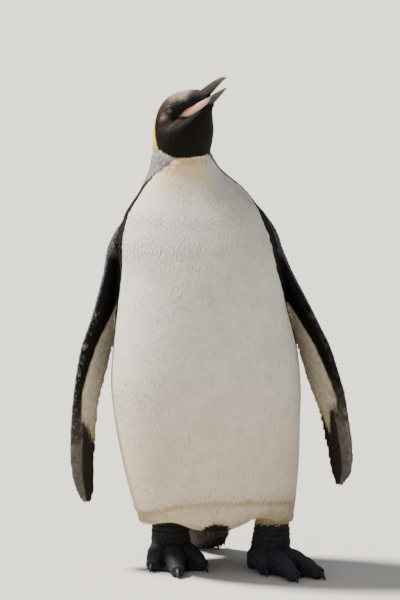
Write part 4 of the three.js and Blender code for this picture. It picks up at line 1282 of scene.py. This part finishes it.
# Colours from the root to the tip of each part of the bill, and from the pupil outwards.
UPPER_HORN = [
    (0, (0.009, 0.008, 0.007)), (0.5, (0.017, 0.014, 0.012)), (0.8, (0.040, 0.034, 0.028)),
    (1, (0.12, 0.105, 0.085)),
]
LOWER_HORN = [
    (0, (0.012, 0.010, 0.009)), (0.55, (0.022, 0.018, 0.016)), (0.8, (0.035, 0.030, 0.026)),
    (1, (0.10, 0.088, 0.075)),
]
PLATE_PINK = [
    (0, (0.04, 0.024, 0.016)), (0.09, (0.12, 0.06, 0.035)), (0.2, (0.50, 0.23, 0.10)),
    (0.36, (0.62, 0.29, 0.14)), (0.6, (0.60, 0.32, 0.26)), (0.88, (0.42, 0.26, 0.24)),
    (1, (0.18, 0.12, 0.11)),
]
EYE_SHADES = [
    (0, (0.022, 0.023, 0.017)), (0.06, (0.026, 0.027, 0.020)), (0.08, (0.040, 0.041, 0.030)),
    (0.13, (0.045, 0.046, 0.034)), (0.165, (0.020, 0.020, 0.015)), (0.2, (0.008, 0.007, 0.006)),
]


def group(name, inputs, output):
    """Empty shader node group with inputs of (name, socket type, default) and one output."""
    tree = bpy.data.node_groups.new(name, "ShaderNodeTree")
    for label, kind, default in inputs:
        socket = tree.interface.new_socket(label, in_out="INPUT", socket_type=kind)
        if default is not None:
            socket.default_value = default
    tree.interface.new_socket(output[0], in_out="OUTPUT", socket_type=output[1])
    return tree, tree.nodes.new("NodeGroupInput"), tree.nodes.new("NodeGroupOutput")


def node(tree, kind, links=(), **values):
    """New node with its settings, its constant inputs by name and its linked inputs."""
    made = tree.nodes.new(kind)
    for key, value in values.items():
        if hasattr(made, key):
            setattr(made, key, value)
        else:
            made.inputs[key.replace("_", " ")].default_value = value
    for name, source in dict(links).items():
        tree.links.new(source, made.inputs[name])
    return made


def reckon(tree, operation, *terms):
    """Output of a Math node over the terms, each a number or another node's output."""
    made = node(tree, "ShaderNodeMath", operation=operation)
    for socket, term in zip(made.inputs, terms):
        if isinstance(term, float):
            socket.default_value = term
        else:
            tree.links.new(term, socket)
    return made.outputs[0]


def mottle_group():
    """Colour times 1 + 4 * Amount * (noise - 0.5), with soft noise about Place * Scale."""
    inputs = [("Color", "NodeSocketColor", None), ("Place", "NodeSocketVector", None),
              ("Scale", "NodeSocketFloat", 60.0), ("Amount", "NodeSocketFloat", 0.2)]
    tree, start, end = group("mottle", inputs, ("Color", "NodeSocketColor"))
    place = {"Vector": start.outputs["Place"], "Scale": start.outputs["Scale"]}
    noise = node(tree, "ShaderNodeTexNoise", place, Detail=5.0, Roughness=0.62)
    centred = reckon(tree, "SUBTRACT", noise.outputs["Fac"], 0.5)
    scaled = reckon(tree, "MULTIPLY", centred, start.outputs["Amount"])
    factor = reckon(tree, "MULTIPLY_ADD", scaled, 4.0, 1.0)
    result = node(tree, "ShaderNodeVectorMath", {0: start.outputs["Color"], 1: factor}, operation="MULTIPLY")
    tree.links.new(result.outputs[0], end.inputs["Color"])
    return tree


def grain_group():
    """Height of fine noise, drawn out by the factors of Stretch."""
    inputs = [("Place", "NodeSocketVector", None), ("Stretch", "NodeSocketVector", EVEN),
              ("Scale", "NodeSocketFloat", 400.0)]
    tree, start, end = group("grain", inputs, ("Height", "NodeSocketFloat"))
    terms = {0: start.outputs["Place"], 1: start.outputs["Stretch"]}
    place = node(tree, "ShaderNodeVectorMath", terms, operation="MULTIPLY").outputs[0]
    noise = node(tree, "ShaderNodeTexNoise", {"Vector": place, "Scale": start.outputs["Scale"]}, Detail=3.0)
    tree.links.new(noise.outputs["Fac"], end.inputs["Height"])
    return tree


MOTTLE, GRAIN = mottle_group(), grain_group()


def tint(tree):
    """Colour painted on the mesh's points."""
    return node(tree, "ShaderNodeAttribute", attribute_name="tint").outputs["Color"]


def ramp(attribute, stops):
    """Colour over the values of a mesh attribute, between stops of (value, colour)."""
    def colour(tree):
        value = node(tree, "ShaderNodeAttribute", attribute_name=attribute).outputs["Fac"]
        blend = node(tree, "ShaderNodeValToRGB", {"Fac": value})
        while len(blend.color_ramp.elements) < len(stops):
            blend.color_ramp.elements.new(0.5)
        for element, (position, shade) in zip(blend.color_ramp.elements, stops):
            element.position, element.color = position, (*shade, 1)
        return blend.outputs["Color"]
    return colour


def surface(name, colour, mottle, grain, bump, **constants):
    """Material whose colour is one shade or comes from tint or a ramp, under mottle of (scale,
    amount), with fine grain of (scale, stretch) raised by bump metres."""
    material = bpy.data.materials.new(name)
    material.use_nodes = True
    tree = material.node_tree
    shader = tree.nodes["Principled BSDF"]
    place = node(tree, "ShaderNodeTexCoord").outputs["Object"]
    broken = node(tree, "ShaderNodeGroup", node_tree=MOTTLE)
    tree.links.new(place, broken.inputs["Place"])
    broken.inputs["Scale"].default_value, broken.inputs["Amount"].default_value = mottle
    if callable(colour):
        tree.links.new(colour(tree), broken.inputs["Color"])
    else:
        broken.inputs["Color"].default_value = (*colour, 1)
    fine = node(tree, "ShaderNodeGroup", node_tree=GRAIN)
    tree.links.new(place, fine.inputs["Place"])
    fine.inputs["Scale"].default_value, fine.inputs["Stretch"].default_value = grain
    raised = node(tree, "ShaderNodeBump", {"Height": fine.outputs["Height"]}, Distance=bump)
    tree.links.new(broken.outputs["Color"], shader.inputs["Base Color"])
    tree.links.new(raised.outputs["Normal"], shader.inputs["Normal"])
    for key, value in constants.items():
        shader.inputs[key.replace("_", " ")].default_value = value
    return material


def body_plumage():
    """Matt feathers of the trunk, their grain drawn out downwards."""
    return surface("body_plumage", tint, (45, 0.10), (420, DOWN), 0.0004,
                   Roughness=0.85, Specular_IOR_Level=0.1)


def hood_plumage():
    """Short velvety feathers of the head."""
    return surface("hood_plumage", tint, (120, 0.25), (700, EVEN), 0.0003,
                   Roughness=0.6, Specular_IOR_Level=0.08)


def flipper_plumage():
    """Tiny scale-like feathers of the flippers."""
    return surface("flipper_plumage", tint, (110, 0.22), (600, DOWN), 0.0003,
                   Roughness=0.7, Specular_IOR_Level=0.1)


def leg_plumage():
    """Short dull feathers of the shanks."""
    return surface("leg_plumage", tint, (150, 0.3), (500, EVEN), 0.0003,
                   Roughness=0.8, Specular_IOR_Level=0.25)


def tail_plumage():
    """Stiff feathers of the tail, their grain along them."""
    return surface("tail_plumage", tint, (90, 0.3), (500, DOWN), 0.0003,
                   Roughness=0.7, Specular_IOR_Level=0.3)


def bare_skin():
    """Dull skin that shows between the feathers."""
    return surface("skin", tint, (140, 0.25), (500, EVEN), 0.0003,
                   Roughness=0.8, Specular_IOR_Level=0.08)


def foot_scale():
    """Leathery scales and plates of the feet."""
    return surface("foot_scale", tint, (180, 0.3), (600, EVEN), 0.0003,
                   Roughness=0.62, Specular_IOR_Level=0.3)


def lid_skin():
    """Dark bare skin round the eye."""
    return surface("lid_skin", LID_DARK, (300, 0.3), (900, EVEN), 0.0002,
                   Roughness=0.7, Specular_IOR_Level=0.25)


def upper_bill_horn():
    """Dark horn, strongly mottled and paler towards the tip."""
    return surface("upper_bill_horn", ramp("along", UPPER_HORN), (260, 0.6), (500, EVEN), 0.0004,
                   Roughness=0.5, Specular_IOR_Level=0.3)


def lower_bill_horn():
    """Dark horn, paler towards the tip."""
    return surface("lower_bill_horn", ramp("along", LOWER_HORN), (200, 0.3), (500, EVEN), 0.0002,
                   Roughness=0.5, Specular_IOR_Level=0.35)


def bill_plate():
    """Smooth horn, dark at the gape, then orange and pink."""
    return surface("bill_plate", ramp("along", PLATE_PINK), (160, 0.14), (300, EVEN), 0.0001,
                   Roughness=0.32, Coat_Weight=0.3, Subsurface_Weight=0.1)


def claw_horn():
    """Black satin horn."""
    return surface("claw_horn", CLAW_BLACK, (300, 0.4), (600, EVEN), 0.0002,
                   Roughness=0.5, Specular_IOR_Level=0.3)


def eye():
    """Wet eyeball with a grey iris round a dark pupil."""
    return surface("eye", ramp("polar", EYE_SHADES), (700, 0.3), (900, EVEN), 0.00005,
                   Roughness=0.35, Coat_Weight=0.15, Coat_Roughness=0.2)


def floor_paint():
    """Pale matt floor."""
    return surface("floor", FLOOR_GREY, (3, 0.02), (60, EVEN), 0.0004, Roughness=0.9)


MATERIALS = {make.__name__: make() for make in (
    body_plumage, hood_plumage, flipper_plumage, leg_plumage, tail_plumage, bare_skin, foot_scale,
    lid_skin, upper_bill_horn, lower_bill_horn, bill_plate, claw_horn, eye)}


# ---------------------------------------------------------------- the bird, put together

FLESH = ("trunk", "neck", "head", "tail", "flipper_left", "flipper_right", "leg_left", "leg_right",
         "foot_left", "foot_right")
SCALES_FROM = 2.5  # height above the sole at which the small scales begin
PLATE_LIGHTER = 1.1  # factor of the toe plates over the colour of the foot


def mark_along(piece, rings):
    """Attribute "along" from 0 at the root to 1 at the tip of a lofted piece."""
    n, m, _ = rings.shape
    measure(piece, "along", np.append(np.repeat(np.linspace(0, 1, n), m), (0, 1)))


def measure(piece, name, values):
    """Point attribute of plain numbers."""
    attribute = piece.data.attributes.new(name, "FLOAT", "POINT")
    attribute.data.foreach_set("value", np.asarray(values, np.float32))


def make_bill():
    """Upper and lower bill, and the plate on each side of the lower one."""
    for which, rows in (("upper", UPPER_BILL_ROWS), ("lower", LOWER_BILL_ROWS)):
        rings = bill_rings(rows, which)
        piece = build(which + "_bill", loft(rings))
        mark_along(piece, rings)
        settle(piece, MATERIALS[which + "_bill_horn"], "bill_horn", "bill_" + which)
    for side, sign in (("left", 1), ("right", -1)):
        rings = plate_rings(sign)
        piece = build("plate_" + side, loft(rings))
        mark_along(piece, rings)
        settle(piece, MATERIALS["bill_plate"], "bill_plate", "bill_plate_" + side)


def make_eyes():
    """Eyeball and lids on each side."""
    for side, sign in (("left", 1), ("right", -1)):
        rings, polar = eye_ball(sign)
        ball = build("eyeball_" + side, loft(rings))
        measure(ball, "polar", polar / np.pi)
        settle(ball, MATERIALS["eye"], "eye", "eye_" + side)
        settle(build("lids_" + side, torus(lid_rings(sign))), MATERIALS["lid_skin"], "hood_plumage")


def make_feet(skin):
    """Plates over the toes, small scales over the rest of each foot, and claws."""
    for side, (_, toes) in LEGS.items():
        plates = build("toe_plates_" + side, joined([toe_plates(side, toe) for toe in toes]))
        points = np.empty(len(plates.data.vertices) * 3, np.float32)
        plates.data.vertices.foreach_get("co", points)
        paint(plates, colours_of(points.reshape(-1, 3) / MM, "foot_" + side) * PLATE_LIGHTER)
        settle(plates, MATERIALS["foot_scale"], "foot_skin")
        for toe in toes:
            claw = build(f"claw_{side}_{toe}_horn", loft(claw_rings(side, toe)))
            settle(claw, MATERIALS["claw_horn"], "claw_horn", f"claw_{side}_{toe}")
        above = lambda p, q: (q == "foot_" + side) & (p[:, 2] > SCALES_FROM)
        scales = coat("foot_scales_" + side, skin, above, spacing=2.3, seed=21, **SCALE)
        settle(scales, MATERIALS["foot_scale"], "foot_skin")


def make_bird():
    """Skin, coat and horn parts, each on the one body."""
    skin = make_skin()
    settle(skin[0], MATERIALS["bare_skin"], "body_plumage", *FLESH)
    for name, wanted, spacing, seed, feathers, look in COATS:
        settle(coat(name, skin, wanted, spacing, seed, **feathers), MATERIALS[look], look)
    make_bill()
    make_eyes()
    make_feet(skin)


# ---------------------------------------------------------------- floor, light and camera

FLOOR_HALF = 60000
SKY, SKY_STRENGTH = (0.93, 0.95, 1.0), 0.45
KEY_WAY, KEY_STRENGTH, KEY_SPREAD, KEY_COLOUR = (-0.58, 0.17, 0.80), 11, 12, (1.0, 0.95, 0.87)
FRONT_PLACE, FRONT_SIZE, FRONT_POWER, FRONT_COLOUR = (-2.2, -3.0, 1.8), 2.4, 5, (1.0, 0.97, 0.93)
FRONT_TARGET = (0, 0, 0.45)
FRAME_HEIGHT = 0.93  # metres of the bird's plane that the picture's long side takes in
CAMERA_FAR = 16.0
CAMERA_RISE = math.radians(11)
SENSOR = 36
AIM = np.array((-0.0183, PLACE_Y * MM, 0.4184))


def place_in_scene(name, data):
    """New object of a light or camera, linked to the scene."""
    made = bpy.data.objects.new(name, data)
    bpy.context.scene.collection.objects.link(made)
    return made


def aim_at(thing, place, target):
    """Sets a light or camera down and turns its -Z axis to the target."""
    back = unit(place - target)
    right = unit(np.cross(Z, back))
    turn = np.stack([right, np.cross(back, right), back, place], 1)
    thing.matrix_world = Matrix([*turn.tolist(), (0, 0, 0, 1)])


def make_stage():
    """Wide pale floor that melts into a pale sky."""
    corners = FLOOR_HALF * np.array([(-1, -1, 0), (1, -1, 0), (1, 1, 0), (-1, 1, 0)], float)
    floor = build("floor", (corners, np.array([(0, 1, 2, 3)]), np.zeros((0, 3), int)))
    floor.data.materials.append(floor_paint())
    world = bpy.data.worlds.new("studio")
    world.use_nodes = True
    background = world.node_tree.nodes["Background"]
    background.inputs["Color"].default_value = (*SKY, 1)
    background.inputs["Strength"].default_value = SKY_STRENGTH
    bpy.context.scene.world = world


def make_sun():
    """Broad parallel key light from above, spread over some degrees for soft shadows."""
    light = bpy.data.lights.new("key", "SUN")
    light.energy, light.angle, light.color = KEY_STRENGTH, math.radians(KEY_SPREAD), KEY_COLOUR
    aim_at(place_in_scene("key", light), np.array(KEY_WAY) * 3, np.zeros(3))


def make_front_light():
    """Weak square light from the front that faces the middle of the bird."""
    light = bpy.data.lights.new("front", "AREA")
    light.size, light.energy, light.color = FRONT_SIZE, FRONT_POWER, FRONT_COLOUR
    aim_at(place_in_scene("front", light), np.array(FRONT_PLACE), np.array(FRONT_TARGET))


def make_camera():
    """Long lens a little above the bird, looking along +Y."""
    camera = bpy.data.cameras.new("camera")
    camera.sensor_width = SENSOR
    camera.lens = SENSOR * CAMERA_FAR / FRAME_HEIGHT
    camera.clip_start, camera.clip_end = 0.1, 200
    made = place_in_scene("camera", camera)
    way = np.array((0, -math.cos(CAMERA_RISE), math.sin(CAMERA_RISE)))
    aim_at(made, AIM + CAMERA_FAR * way, AIM)
    bpy.context.scene.camera = made


make_bird()
make_stage()
make_sun()
make_front_light()
make_camera()
